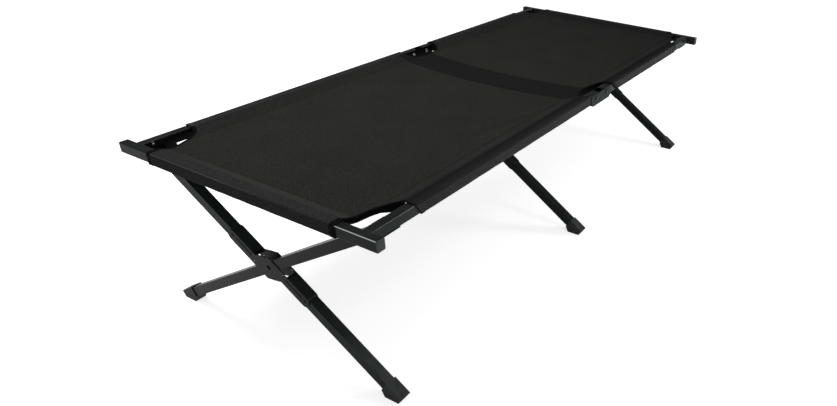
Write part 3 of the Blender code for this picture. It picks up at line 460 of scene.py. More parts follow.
# %% Cloth builder
def cloth_piece(name, material, face, back, uv, wraps=False):
    """face and back are grids of points (along, around, xyz); uv has one more column where it wraps."""
    rows, columns = face.shape[:2]
    vertices = np.concatenate([face.reshape(-1, 3), back.reshape(-1, 3)])
    faces, corners = [], []

    def number(side, row, column):
        return side * rows * columns + row * columns + column % columns

    def quad(cells):
        faces.append([number(*cell) for cell in cells])
        corners.extend(uv[cell[1], cell[2]] for cell in cells)

    last = columns if wraps else columns - 1
    for row in range(rows - 1):
        for column in range(last):
            cell = [(row, column), (row + 1, column), (row + 1, column + 1), (row, column + 1)]
            quad([(0, *place) for place in cell])
            quad([(1, *place) for place in reversed(cell)])
        if not wraps:
            for column, turn in ((0, 1), (columns - 1, -1)):
                wall = [(0, row, column), (1, row, column), (1, row + 1, column), (0, row + 1, column)]
                quad(wall[::turn])
    for row, turn in ((0, -1), (rows - 1, 1)):
        for column in range(last):
            wall = [(0, row, column), (1, row, column), (1, row, column + 1), (0, row, column + 1)]
            quad(wall[::turn])

    mesh = bpy.data.meshes.new(name)
    mesh.from_pydata([tuple(vertex) for vertex in vertices], [], faces)
    layer = mesh.uv_layers.new(name="metres")
    layer.data.foreach_set("uv", np.array(corners, dtype=np.float32).ravel())
    return finished_piece(mesh, material, sharp_degrees=40)


def arc_length(points):
    """Running length along points, starting at 0."""
    steps = np.linalg.norm(np.diff(points, axis=0), axis=1)
    return np.concatenate([[0.0], np.cumsum(steps)])


# %% [markdown]
# ## The shape of the bed
# The cloth is pulled tight between the rails and the bars. It leaves the top of each tube, slopes down to
# the seam that closes the pocket, and from there the bed lies flat a little lower. Tight cloth does not
# hang in billows: it shows long shallow folds that fan out from where its edge is cut. All of that is one
# height for each place on the bed, so it is written as one function.

# %% Folds in the bed
FANS = (  # where folds start (x, y), the way they point, how many, how wide, how long, how high
    (0.030, -0.372, 174.0, 4, 11.0, 0.55, 0.0034),
    (0.030, 0.368, 186.5, 3, 11.0, 0.50, 0.0024),
    (-0.868, 0.345, -14.0, 2, 22.0, 0.34, 0.0016),
    (-0.868, -0.345, 10.0, 2, 16.0, 0.25, 0.0010),
    (0.235, -0.362, 8.0, 3, 13.0, 0.40, 0.0014),
    (0.235, 0.362, -8.0, 3, 13.0, 0.40, 0.0014),
)


def fold_height(x, y):
    """Height of the fans of long shallow folds."""
    height = np.zeros_like(x)
    for from_x, from_y, way, count, spread, reach, rise in FANS:
        away = np.hypot(x - from_x, y - from_y)
        angle = np.degrees(np.arctan2(y - from_y, x - from_x)) - way
        angle = (angle + 180.0) % 360.0 - 180.0
        inside = np.exp(-(angle / spread) ** 2)
        along = np.clip(away / reach, 0.0, 1.0)
        height += rise * inside * np.sin(math.pi * along) ** 2 * np.cos(angle / spread * math.pi * count / 2)
    return height


print("fans of folds:", len(FANS))

# %% Height of the bed
CLOTH = 0.0025
BED_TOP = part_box("end_sleeve_foot")[1].z
HEM_DROP, HEM_EASE, SAG = 0.012, 0.35, 0.004
SEAM_HALF, SEAM_RISE = 0.0035, 0.0008
BAND_RISE, BAND_SLOPE = 0.0007, 0.004
RIPPLE = 0.0004
WELL_IN = 0.98


def bed_height(x, y):
    """Height of the bed's upper face, from its hems, sag, seams, cross band, folds and ripple."""
    side = np.clip((BED_EDGE - np.abs(y)) / SIDE_HEM, 0.0, 1.0)
    tip = np.clip((BED_END - np.abs(x)) / END_HEM, 0.0, 1.0)
    hem = np.minimum(side, tip)
    eased = hem * (1.0 + HEM_EASE * (1.0 - hem))
    sag = SAG * (1 - (x / BED_END) ** 2) * (1 - (y / BED_EDGE) ** 2)
    seam_side = np.exp(-((BED_EDGE - SIDE_HEM - np.abs(y)) / SEAM_HALF) ** 2) * (tip > WELL_IN)
    seam_end = np.exp(-((BED_END - END_HEM - np.abs(x)) / SEAM_HALF) ** 2) * (side > WELL_IN)
    seam = SEAM_RISE * np.maximum(seam_side, seam_end) * (hem > 0.5)
    bow = BAND_BOW * (y / BED_EDGE) ** 2
    band = (np.clip((x - bow - BAND_NEAR) / BAND_SLOPE, 0, 1)
            * np.clip((BAND_FAR - x + bow) / BAND_SLOPE, 0, 1))
    ripple = RIPPLE * np.sin(x * 23.0 + 3.0 * np.sin(y * 7.0)) * np.sin(y * 19.0 + 2.0 * np.sin(x * 5.0))
    return (BED_TOP - HEM_DROP * eased - sag + seam + BAND_RISE * band * (side > 0.9)
            + (fold_height(x, y) + ripple) * np.minimum(side, tip) ** 2)


print("bed in the middle at", round(float(bed_height(np.array(0.0), np.array(0.0))), 4), "m")

# %% [markdown]
# ## Cut-outs
# The bed's edge is cut away in a rounded bay at each corner, where the bars hook on, and at each rail hinge.
# In the photograph the bays at the head are shorter than those at the foot, and the left hinge's is wider
# than the right one's. Each is part of an ellipse, so a square root gives its depth at any place.

# %% Cut-outs in the bed's edge
CUT_LENGTH = BED_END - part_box("side_sleeve_left_head")[1].x
CUT_WIDTH = BED_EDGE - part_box("end_sleeve_head")[1].y
HEAD_LENGTH_SHARE, HEAD_WIDTH_SHARE = 0.55, 0.50
CORNER_CUT = {-1: CUT_LENGTH, 1: HEAD_LENGTH_SHARE * CUT_LENGTH}
CORNER_WIDTH = {-1: CUT_WIDTH, 1: HEAD_WIDTH_SHARE * CUT_WIDTH}
MID_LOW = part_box("side_sleeve_left_foot")[1].x
MID_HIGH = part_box("hinge_link_left")[1].x + CLOTH
MID_CENTRE, MID_HALF = (MID_LOW + MID_HIGH) / 2, (MID_HIGH - MID_LOW) / 2
MID_WIDTH = {1: 0.048, -1: 0.034}


def bed_edge(x, sign):
    """Where the bed ends on the left (1) or right (-1), less the rounded cut-outs at corners and hinges."""
    x = np.asarray(x, float)
    corner_cut = np.where(x < 0, CORNER_CUT[-1], CORNER_CUT[1])
    corner_width = np.where(x < 0, CORNER_WIDTH[-1], CORNER_WIDTH[1])
    from_end = np.clip((BED_END - np.abs(x)) / corner_cut, 0.0, 1.0)
    from_hinge = np.clip(np.abs(x - MID_CENTRE) / MID_HALF, 0.0, 1.0)
    at_corner = corner_width * np.sqrt(1 - from_end ** 2)
    return BED_EDGE - at_corner - MID_WIDTH[sign] * np.sqrt(1 - from_hinge ** 2)


print("cut-outs", round(CUT_LENGTH, 4), "long at the foot,", round(2 * MID_HALF, 4), "at the hinges")

# %% [markdown]
# ## The bed panel
# The real bed is one sheet, but it has to fold with the frame. It is therefore cut at the two hinge bolts
# into a foot part, a narrow strip and a head part, which meet edge to edge and look like one cloth. Each
# rides on its own piece of the left rail.

# %% Parts of the bed
def centre_x(node):
    """The middle of a node along the cot."""
    low_corner, high_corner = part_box(node)
    return low_corner.x / 2 + high_corner.x / 2


FOOT_FOLD, HEAD_FOLD = centre_x("hinge_bolt_left_foot"), centre_x("hinge_bolt_left_head")
BED_PARTS = {
    "foot": (-BED_END, FOOT_FOLD, "left_foot_frame"),
    "strip": (FOOT_FOLD, HEAD_FOLD, "left_link"),
    "head": (HEAD_FOLD, BED_END, "left_head_frame"),
}
print("the bed folds at x", round(FOOT_FOLD, 3), "and", round(HEAD_FOLD, 3))

# %% Grid of the bed
BED_STEP, LEAST_STEP = 0.008, 0.0008
CORNER_STEPS, HINGE_STEPS = 24, 32
MIDDLE_COLUMNS, HEM_COLUMNS = 40, 8
AROUND_SEAM = [SEAM_HALF * step for step in (-2, -1, 0, 1, 2)]
EDGE_ZONE = 0.11


def stations(low, high):
    """Places along the bed: every 8 mm, and close together at the end hems and the cut-outs."""
    values = list(np.linspace(low, high, max(2, round((high - low) / BED_STEP) + 1)))
    for end in (-1, 1):
        values += [end * (BED_END - END_HEM + shift) for shift in AROUND_SEAM]
        values += [end * (BED_END - CORNER_CUT[end] * math.sin(math.pi / 2 * step / CORNER_STEPS))
                   for step in range(CORNER_STEPS + 1)]
    values += [MID_CENTRE - MID_HALF * math.cos(math.pi * step / HINGE_STEPS)
               for step in range(HINGE_STEPS + 1)]
    kept = [low]
    for value in sorted(value for value in values if low <= value <= high):
        if value - kept[-1] > LEAST_STEP:
            kept.append(value)
    kept[-1] = high
    return np.array(kept)


def bed_columns():
    """Places across the bed, close together at the side seams."""
    seam = BED_EDGE - SIDE_HEM
    half = np.concatenate([np.linspace(0.0, seam - 0.01, MIDDLE_COLUMNS), seam + np.array(AROUND_SEAM),
                           np.linspace(seam + 0.012, BED_EDGE, HEM_COLUMNS)])
    return np.concatenate([-half[:0:-1], half])


def bed_grid(low, high):
    """Grid points in plan, with the outermost columns drawn in to follow the cut edge."""
    x = stations(low, high)
    grid_x, grid_y = np.meshgrid(x, bed_columns(), indexing="ij")
    zone = BED_EDGE - EDGE_ZONE
    for sign in (1, -1):
        shrink = (bed_edge(x, sign) - zone) / (BED_EDGE - zone)
        moved = sign * (zone + (sign * grid_y - zone) * shrink[:, None])
        grid_y = np.where(sign * grid_y > zone, moved, grid_y)
    return grid_x, grid_y


print(len(stations(-BED_END, BED_END)), "rows and", len(bed_columns()), "columns on the whole bed")


bed_pieces = {}
for part, (low, high, _) in BED_PARTS.items():
    grid_x, grid_y = bed_grid(low, high)
    face = np.stack([grid_x, grid_y, bed_height(grid_x, grid_y)], axis=2)
    piece = cloth_piece(f"bed_{part}", bed_cloth, face, face - np.array([0, 0, CLOTH]),
                        np.stack([grid_x, grid_y], axis=2))
    half = "foot" if part == "foot" else "head"
    bed_pieces[part] = piece

# %% [markdown]
# ## The pockets on the tubes
# Pockets of the same cloth hold the tubes. They are wrapped tightly, so their outline is the tube's outline
# a little larger, with round corners on the outside and a square one where they meet the bed. The free ends
# of the rail pockets are cut at a slant, and pulled cloth ripples slightly along its length. At the middle
# leg the foot pocket is open for the bracket, and only a flap of it goes on over the top and the outside. A
# hair's breadth, HAIR, keeps faces apart that would otherwise lie in one plane.

# %% Pocket outlines
POCKET_RADIUS, SQUARE_RADIUS = 0.0056, 0.0004
OUTLINE_STEP, ARC_STEPS = 0.006, 6


def across_tube(node, axis):
    """A node's lowest and highest corner in the plane across an axis, as (sideways, upwards) pairs."""
    low_corner, high_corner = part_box(node)
    return (low_corner[1 - axis], low_corner.z), (high_corner[1 - axis], high_corner.z)


def pocket_loop(low, high, inner_side):
    """Points round a tube in the plane across it, with a square upper corner on the inner side."""
    points = []
    for corner, (a, b) in enumerate((low, (high[0], low[1]), high, (low[0], high[1]))):
        square = corner == (2 if inner_side > 0 else 3)
        bend = SQUARE_RADIUS if square else POCKET_RADIUS
        centre = (a + bend * (1 if a == low[0] else -1), b + bend * (1 if b == low[1] else -1))
        for step in range(ARC_STEPS + 1):
            angle = math.radians((180 + 90 * corner) % 360 + 90 / ARC_STEPS * step)
            points.append((centre[0] + bend * math.cos(angle), centre[1] + bend * math.sin(angle)))
    outline = []
    for here, there in zip(points, points[1:] + points[:1]):
        outline.append(here)
        cuts = int(math.dist(here, there) // OUTLINE_STEP)
        for cut in range(1, cuts + 1):
            share = cut / (cuts + 1)
            outline.append((here[0] + (there[0] - here[0]) * share, here[1] + (there[1] - here[1]) * share))
    return outline


def inner_point(point, low, high):
    """The point straight inside an outline point, one cloth thickness in."""
    return tuple(min(max(place, lowest + CLOTH), highest - CLOTH)
                 for place, lowest, highest in zip(point, low, high))


print("pocket corners have a radius of", POCKET_RADIUS * 1000, "mm")

# %% Pocket builder
POCKET_STEP, SWELL, TOP_BAND = 0.009, 0.00025, 0.003


def pocket(name, node, axis, inner_side, low_slant, high_slant, low=None, high=None, keep=None):
    """A pocket round a tube along an axis. keep(point) picks the part of the loop that stays, if not all."""
    low_corner, high_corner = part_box(node)
    start = low_corner[axis] if low is None else low
    end = high_corner[axis] if high is None else high
    corners = across_tube(node, axis)
    outer = pocket_loop(*corners, inner_side)
    inner = [inner_point(point, *corners) for point in outer]
    if keep:
        kept = [index for index, point in enumerate(outer) if keep(point)]
        turn = next((k for k in range(1, len(kept)) if kept[k] - kept[k - 1] > 1), 0)
        kept = kept[turn:] + kept[:turn]
        outer, inner = [outer[i] for i in kept], [inner[i] for i in kept]
    top, height = high_corner.z, high_corner.z - low_corner.z
    around = arc_length(np.array(outer + outer[:1]))
    steps = max(2, round((end - start) / POCKET_STEP))
    face, back, uv = [], [], []
    for share in np.linspace(0.0, 1.0, steps + 1):
        outer_row, inner_row, uv_row = [], [], []
        for index, (point, within) in enumerate(zip(outer, inner)):
            depth = (top - point[1]) / height
            first, last = start + low_slant * depth, end - high_slant * depth
            along = first + (last - first) * share
            swell = SWELL * (1 + math.sin(along * 61.0 + 4.0 * math.sin(along * 13.0) + point[1] * 90.0))
            outward = Vector((point[0] - within[0], point[1] - within[1])).normalized()
            outward *= swell if point[1] < top - TOP_BAND else 0.0
            swollen = (point[0] + outward.x, point[1] + outward.y)
            for row, place in ((outer_row, swollen), (inner_row, within)):
                spot = [0.0, 0.0, place[1]]
                spot[axis], spot[1 - axis] = along, place[0]
                row.append(spot)
            uv_row.append((along, around[index]))
        if not keep:
            uv_row.append((uv_row[0][0], around[-1]))
        face.append(outer_row)
        back.append(inner_row)
        uv.append(uv_row)
    piece = cloth_piece(name, sleeve_cloth, np.array(face), np.array(back), np.array(uv), wraps=not keep)
    girth = around[-1] if not keep else around[len(outer) - 1]
    return piece, girth, end - start


# %% Pockets on rails and bars
SLANT, HINGE_SLANT = 0.022, 0.050
HAIR = 0.0001
FLAP_EDGE = 0.0028
OPEN_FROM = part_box("top_bracket_left_mid")[0].x - CLOTH
pockets = []


def hold_tube(made, body, node):
    """Note a pocket, the body that it rides on and the node that it replaces."""
    piece, girth, length = made
    pockets.append((piece, body, node))


for side, sign in SIDES:
    node = f"side_sleeve_{side}_foot"
    edge_y = max(abs(corner.y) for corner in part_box(node))
    made = pocket(f"rail_pocket_{side}_foot", node, 0, -sign, SLANT, 0.0, high=OPEN_FROM)
    flap = pocket(f"rail_pocket_flap_{side}", node, 0, -sign, 0.0, 0.0, low=OPEN_FROM + HAIR,
                  keep=lambda point: point[1] > BED_TOP - FLAP_EDGE or abs(point[0]) > edge_y - FLAP_EDGE)
    hold_tube(flap, f"{side}_foot_frame", node)
    hold_tube(made, f"{side}_foot_frame", node)
    node = f"side_sleeve_{side}_head"
    made = pocket(f"rail_pocket_{side}_head", node, 0, -sign, HINGE_SLANT, SLANT, low=MID_HIGH)
    hold_tube(made, f"{side}_head_frame", node)
for half, sign in HALVES:
    node = f"end_sleeve_{half}"
    made = pocket(f"bar_pocket_{half}", node, 1, -sign, 0.0, 0.0)
    hold_tube(made, f"{half}_bar", node)
print(len(pockets), "pocket pieces, girth", round(made[1], 4), "m")

# %% [markdown]
# ## Binding round the cut edges
# Every cut edge of the bed is wrapped in tape, folded over the edge like a letter U, and a strip of tape or
# doubled cloth is turned down under it. At the corners the strip is of paler doubled cloth on the left,
# painted
# light, and of black tape on the right, painted shade. The pockets' ends have collars, except at the middle
# leg:
# of cloth at the outer ends of the rail pockets, paler and painted light on the left, and of tape elsewhere.
# All are again two grids, a face and one against the cloth.

# %% Tape over an edge
TAPE_WIDTH, TAPE_THICK = 0.006, 0.0009
TAPE_PROFILE = [(-TAPE_WIDTH, 1.0), (-TAPE_WIDTH / 2, 1.0), (0.0, 1.0), (0.7, 0.7), (1.0, 0.0), (0.7, -0.7),
                (0.0, -1.0), (-TAPE_WIDTH / 2, -1.0), (-TAPE_WIDTH, -1.0)]


def edge_tape(name, x, sign):
    """Tape folded over the cut edge of the bed, along the given stations."""
    edge = bed_edge(x, sign)
    middle = np.stack([x, sign * edge, bed_height(x, sign * edge) - CLOTH / 2], axis=1)
    tangent = np.gradient(middle, axis=0)
    tangent /= np.linalg.norm(tangent, axis=1)[:, None]
    outward = np.cross(tangent, [0, 0, 1.0]) * -sign
    outward /= np.linalg.norm(outward, axis=1)[:, None]
    outward *= np.sign(outward[:, 1] * sign)[:, None]
    face, back = [], []
    for thick, rows in ((CLOTH / 2 + TAPE_THICK, face), (CLOTH / 2 + HAIR, back)):
        for spot, out in zip(middle, outward):
            row = []
            for inward, height in TAPE_PROFILE:
                reach = inward * thick if inward > 0 else inward
                inside = spot + out * reach
                lift = bed_height(inside[0], inside[1]) - CLOTH / 2 if reach < 0 else spot[2]
                row.append([inside[0], inside[1], lift + height * thick])
            rows.append(row)
    across = np.linspace(0, 2 * TAPE_WIDTH, len(TAPE_PROFILE))
    uv = np.stack(np.meshgrid(arc_length(middle), across, indexing="ij"), axis=2)
    return cloth_piece(name, tape, np.array(face), np.array(back), uv)


# %% Facing under an edge
FACING_THICK, FACING_ROWS = 0.0016, 5


def facing(name, x, sign, drop, material):
    """The strip turned down under a cut edge, as deep as drop says at each station."""
    y = sign * bed_edge(x, sign)
    top = bed_height(x, y) - CLOTH - HAIR
    run = np.stack([x, y], axis=1)
    tangent = np.gradient(run, axis=0)
    inward = np.stack([-tangent[:, 1], tangent[:, 0]], axis=1) * sign
    inward *= -FACING_THICK / np.linalg.norm(inward, axis=1)[:, None]
    shares = np.linspace(0.0, 1.0, FACING_ROWS)
    face, back = ([np.column_stack([run + inward * shift, top - drop * share]) for share in shares]
                  for shift in (0.0, 1.0))
    uv = np.stack([np.tile(arc_length(run), (FACING_ROWS, 1)), shares[:, None] * drop], axis=2)
    return cloth_piece(name, material, np.array(face), np.array(back), uv)


# %% Bindings on the bed
CORNER_DROP, HINGE_DROP = {"foot": 0.013, "head": 0.006}, 0.022
RIGHT_FOOT_DROP, DEEPER_FROM = 0.026, 0.7
CORNER_STATIONS, HINGE_STATIONS = 40, 24
bindings = []
for part, sweep in HALVES:
    for side, sign in SIDES:
        turn = np.linspace(0.0, math.pi / 2, CORNER_STATIONS)
        x = np.sort(sweep * (BED_END - CORNER_CUT[sweep] * np.sin(turn)))
        bindings.append((edge_tape(f"corner_binding_{side}_{part}", x, sign), part))
        deepest = RIGHT_FOOT_DROP if (side, part) == ("right", "foot") else CORNER_DROP[part]
        drop = np.interp(x, (x[0] + DEEPER_FROM * (x[-1] - x[0]), x[-1]), (CORNER_DROP[part], deepest))
        # Painted light and shade: the corner facings are of the paler cloth on the left and of black tape on
        # the right.
        strip = facing(f"corner_facing_{side}_{part}", x, sign, drop, doubled_lit_cloth if sign > 0 else tape)
        bindings.append((strip, part))
for side, sign in SIDES:
    for part, (low, high, _) in BED_PARTS.items():
        turn = [math.acos(max(-1.0, min(1.0, (MID_CENTRE - value) / MID_HALF)))
                for value in (max(low, MID_LOW), min(high, MID_HIGH))]
        x = MID_CENTRE - MID_HALF * np.cos(np.linspace(turn[0], turn[1], HINGE_STATIONS))
        bindings.append((edge_tape(f"hinge_binding_{side}_{part}", x, sign), part))
        strip = facing(f"hinge_facing_{side}_{part}", x, sign, np.full(len(x), HINGE_DROP), tape)
        bindings.append((strip, part))
print(len(bindings), "bindings on the bed")

# %% Collar builder
COLLAR_WIDTH, COLLAR_OVERHANG, COLLAR_SINK = 0.013, 0.0004, 0.0003
COLLAR_ROWS = 4


def outward_from(point, low, high):
    """The way out from a tube's outline: straight off a flat side, and slanting off a round corner."""
    ways, flats = [], []
    for place, lowest, highest in zip(point, low, high):
        from_centre = place - (lowest + highest) / 2
        ways.append(np.sign(from_centre))
        flats.append(abs(abs(from_centre) - (highest - lowest) / 2) < HAIR)
    return Vector([way if flat or not other else 0.0 for way, flat, other in zip(ways, flats, flats[::-1])])


def collar(name, node, axis, inner_side, at_low, slant, material, place=None):
    """Tape or doubled cloth round the open end of a pocket, slanted with it."""
    low_corner, high_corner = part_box(node)
    corners = across_tube(node, axis)
    loop = pocket_loop(*corners, inner_side)
    around = arc_length(np.array(loop + loop[:1]))
    way = 1 if at_low else -1
    mouth = place or (low_corner if at_low else high_corner)[axis]
    face, back, uv = [], [], []
    for share in np.linspace(0.0, 1.0, COLLAR_ROWS):
        outer_row, inner_row = [], []
        for point in loop:
            depth = (high_corner.z - point[1]) / (high_corner.z - low_corner.z)
            along = mouth + way * (slant * depth - COLLAR_OVERHANG) + way * share * COLLAR_WIDTH
            out = outward_from(point, *corners).normalized()
            for lift, row in ((TAPE_THICK, outer_row), (-COLLAR_SINK, inner_row)):
                spot = [0.0, 0.0, point[1] + out.y * lift]
                spot[axis], spot[1 - axis] = along, point[0] + out.x * lift
                row.append(spot)
        face.append(outer_row)
        back.append(inner_row)
        uv.append([(share * COLLAR_WIDTH, length) for length in around])
    return cloth_piece(name, material, np.array(face), np.array(back), np.array(uv), wraps=True)


# %% Collars on the pockets
collars = []
# Painted light: the outer collars are of the paler cloth on the left and of the pocket cloth on the right.
for (side, sign), outer_cloth in zip(SIDES, (doubled_lit_cloth, sleeve_cloth)):
    for half, end_name, at_low, slant, material, place in (
            ("foot", "outer", True, SLANT, outer_cloth, None),
            ("head", "inner", True, HINGE_SLANT, tape, MID_HIGH),
            ("head", "outer", False, SLANT, outer_cloth, None)):
        piece = collar(f"pocket_end_{side}_{half}_{end_name}", f"side_sleeve_{side}_{half}", 0, -sign,
                       at_low, slant, material, place)
        collars.append((piece, f"{side}_{half}_frame"))
for half, sign in HALVES:
    for at_low, end_name in ((True, "right"), (False, "left")):
        piece = collar(f"pocket_end_{half}_bar_{end_name}", f"end_sleeve_{half}", 1, -sign,
                       at_low, 0.0, tape)
        collars.append((piece, f"{half}_bar"))
print(len(collars), "collars on the pockets")

# %% [markdown]
# ## Bolt heads on the rails
# A low domed bolt head sits on the inner face of each rail near its end. The photograph shows the one at the
# left foot corner, and the other three follow it. Each is a form of revolution, so its half profile is
# turned about the level axis of the bolt: a thin washer, a step, and then the dome.

# %% Bolt heads
HEAD_RADIUS, HEAD_RISE, WASHER_RISE = 0.0065, 0.0026, 0.0006
STEP_RADIUS, DOME_RADIUS = 0.82 * HEAD_RADIUS, 0.80 * HEAD_RADIUS
SEAT_DEPTH = 0.0002
BOLT_INSET, BOLT_DROP = 0.0240, 0.0070
TURNS, DOME_STEPS = 32, 6


def bolt_head(name, centre, inward):
    """A domed head on its washer, which faces along y."""
    profile = [(HEAD_RADIUS, -SEAT_DEPTH), (HEAD_RADIUS, WASHER_RISE), (STEP_RADIUS, WASHER_RISE)]
    for step in range(DOME_STEPS):
        angle = math.pi / 2 * step / DOME_STEPS
        rise = WASHER_RISE + (HEAD_RISE - WASHER_RISE) * math.sin(angle)
        profile.append((DOME_RADIUS * math.cos(angle), rise))
    vertices = []
    for radius, rise in profile:
        for turn in range(TURNS):
            angle = 2 * math.pi * turn / TURNS
            vertices.append((centre[0] + radius * math.cos(angle), centre[1] + inward * rise,
                             centre[2] + radius * math.sin(angle)))
    crown = len(vertices)
    vertices.append((centre[0], centre[1] + inward * HEAD_RISE, centre[2]))
    faces = [tuple(reversed(range(TURNS)))]
    for ring in range(0, crown, TURNS):
        for turn in range(TURNS):
            here, there = ring + turn, ring + (turn + 1) % TURNS
            top_ring = ring + TURNS == crown
            faces.append((here, there, crown) if top_ring else (here, there, there + TURNS, here + TURNS))
    mesh = bpy.data.meshes.new(name)
    mesh.from_pydata(vertices, [], faces)
    return finished_piece(mesh, zinc, sharp_degrees=35)


bolt_heads = []
for side, sign in SIDES:
    for half, way in HALVES:
        rail_low, rail_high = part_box(f"rail_{side}_{half}")
        rail_end = max(abs(rail_low.x), abs(rail_high.x))
        centre = (way * (rail_end - BOLT_INSET), sign * RAIL_INSIDE, rail_high.z - BOLT_DROP)
        head = bolt_head(f"rail_bolt_head_{side}_{half}", centre, -sign)
        bolt_heads.append((head, f"{side}_{half}_frame"))
print(len(bolt_heads), "bolt heads at x", round(centre[0], 4))

# %% [markdown]
# ## Stitches
# Seams are rows of lockstitches, one every 4 mm with a small gap between them. Hundreds of small equal
# things along a line are a job for Geometry Nodes: the tree resamples each seam to one point per stitch,
# turns a thin grain of thread along the seam at every point, makes the copies real and gives them their
# material.

# %% Stitch tree
def stitch_tree():
    """Geometry Nodes that lay one stitch at each step along a seam."""
    tree = bpy.data.node_groups.new("lockstitch_row", "GeometryNodeTree")
    tree.interface.new_socket("Seam", in_out="INPUT", socket_type="NodeSocketGeometry")
    for name, value in (("Stitch pitch", 0.004), ("Thread radius", 0.00045), ("Stitch length", 0.0031)):
        socket = tree.interface.new_socket(name, in_out="INPUT", socket_type="NodeSocketFloat")
        socket.default_value = value
    tree.interface.new_socket("Stitches", in_out="OUTPUT", socket_type="NodeSocketGeometry")
    source = add(tree, "NodeGroupInput").outputs
    points = add(tree, "GeometryNodeCurveToPoints", {
        "Curve": source["Seam"], "Length": source["Stitch pitch"]}, mode="LENGTH")
    grain = add(tree, "GeometryNodeMeshUVSphere", {"Segments": 5, "Rings": 4, "Radius": 1.0})
    half = add(tree, MATH, (source["Stitch length"], 0.5), operation="MULTIPLY")
    size = add(tree, "ShaderNodeCombineXYZ", (source["Thread radius"], source["Thread radius"], half))
    stitch = add(tree, "GeometryNodeTransform", {"Geometry": grain, "Scale": size})
    rows = add(tree, "GeometryNodeInstanceOnPoints", {
        "Points": points, "Instance": stitch, "Rotation": points.outputs["Rotation"]})
    real = add(tree, "GeometryNodeRealizeInstances", (rows,))
    dressed = add(tree, "GeometryNodeSetMaterial", {"Geometry": real, "Material": thread})
    add(tree, "NodeGroupOutput", {"Stitches": dressed})
    return tree


lockstitch = stitch_tree()
print("stitch tree with", len(lockstitch.nodes), "nodes")


# %% Sewing
def sew(name, seams):
    """Turn seam paths into one mesh of stitches."""
    curve = bpy.data.curves.new(name + "_path", "CURVE")
    curve.dimensions = "3D"
    for seam in seams:
        line = curve.splines.new("POLY")
        line.points.add(len(seam) - 1)
        line.points.foreach_set("co", np.column_stack([seam, np.ones(len(seam))]).astype(np.float32).ravel())
    path = bpy.data.objects.new(name + "_path", curve)
    bpy.context.scene.collection.objects.link(path)
    path.modifiers.new("stitches", "NODES").node_group = lockstitch
    bpy.context.view_layer.update()
    evaluated = path.evaluated_get(bpy.context.evaluated_depsgraph_get())
    mesh = bpy.data.meshes.new_from_object(evaluated)
    mesh.name = name
    mesh.shade_smooth()
    piece = bpy.data.objects.new(name, mesh)
    bpy.context.scene.collection.objects.link(piece)
    bpy.data.objects.remove(path)
    return piece


# %% Where seams run
ROW_SHIFT, ON_CLOTH = 0.0022, 0.0002
SEAM_STEP, LEAST_POINTS = 0.006, 4
END_POINTS, BAND_POINTS = 160, 240
FOLD_CLEAR, BAY_CLEAR, TIP_CLEAR = 0.002, 0.012, 0.004
BAND_INSET, BAND_CLEAR = 0.002, 0.010


def seam_line(x, y):
    """Points of a seam, a little above the cloth."""
    x, y = np.broadcast_arrays(np.asarray(x, float), np.asarray(y, float))
    return np.stack([x, y, bed_height(x, y) + ON_CLOTH], axis=1)


def unbroken(places, jumps):
    """Split places into runs wherever jumps says that the next one isn't a neighbour."""
    runs = np.split(places, np.where(jumps)[0] + 1)
    return [run for run in runs if len(run) >= LEAST_POINTS]


def hem_seams(low, high):
    """Double rows along the side hems and the end hem."""
    seams = []
    seam_y = BED_EDGE - SIDE_HEM
    first, last = max(low + FOLD_CLEAR, -BED_END + END_HEM), min(high - FOLD_CLEAR, BED_END - END_HEM)
    x = np.arange(first, last, SEAM_STEP)
    for sign in (1, -1):
        for shift in (-ROW_SHIFT, ROW_SHIFT):
            clear = x[bed_edge(x, sign) > seam_y + shift + BAY_CLEAR]
            seams += [seam_line(run, sign * (seam_y + shift))
                      for run in unbroken(clear, np.diff(clear) > SEAM_STEP + 0.001)]
    y = np.linspace(-seam_y + TIP_CLEAR, seam_y - TIP_CLEAR, END_POINTS)
    for end in (-1, 1):
        for shift in (-ROW_SHIFT, ROW_SHIFT):
            x_end = end * (BED_END - END_HEM + shift)
            if low < x_end < high:
                seams.append(seam_line(x_end, y))
    return seams


def band_seams(low, high):
    """One row along each edge of the cross band."""
    seams = []
    y = np.linspace(-1.0, 1.0, BAND_POINTS) * (BED_EDGE - TIP_CLEAR)
    for start in (BAND_NEAR + BAND_INSET, BAND_FAR - BAND_INSET):
        x = start + BAND_BOW * (y / BED_EDGE) ** 2
        room = np.where(y > 0, bed_edge(x, 1), bed_edge(x, -1)) - BAND_CLEAR
        inside = np.flatnonzero((x > low + 0.001) & (x < high - 0.001) & (np.abs(y) < room))
        seams += [seam_line(x[run], y[run]) for run in unbroken(inside, np.diff(inside) > 1)]
    return seams


# %% Seams of each part of the bed
stitches = {}
for part, (low, high, _) in BED_PARTS.items():
    seams = hem_seams(low, high) + band_seams(low, high)
    if seams:
        stitches[part] = sew(f"seam_stitches_{part}", seams)
        print(stitches[part].name, len(seams), "rows,", len(stitches[part].data.polygons), "faces")

# %% [markdown]
# ## Which body carries each piece
# When the cot moves, every added piece has to go with the right part of the frame. Cloth that spans both
# rails cannot follow two bodies, so it rides on the left rail.

# %% Ride
for part, (_, _, body) in BED_PARTS.items():
    spanning = [bed_pieces[part]] + [piece for piece, owner in bindings if owner == part]
    spanning += [stitches[part]] if part in stitches else []
    for piece in spanning:
        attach(piece, body)
        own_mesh(piece)
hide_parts("bed_panel")
for piece, body, node in pockets:
    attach(piece, body)
    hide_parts(node)
for carried, slot_name in ((collars, "bed_cloth"), (bolt_heads, "zinc_fastener")):
    for piece, body in carried:
        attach(piece, body)
print("pieces placed on their bodies")

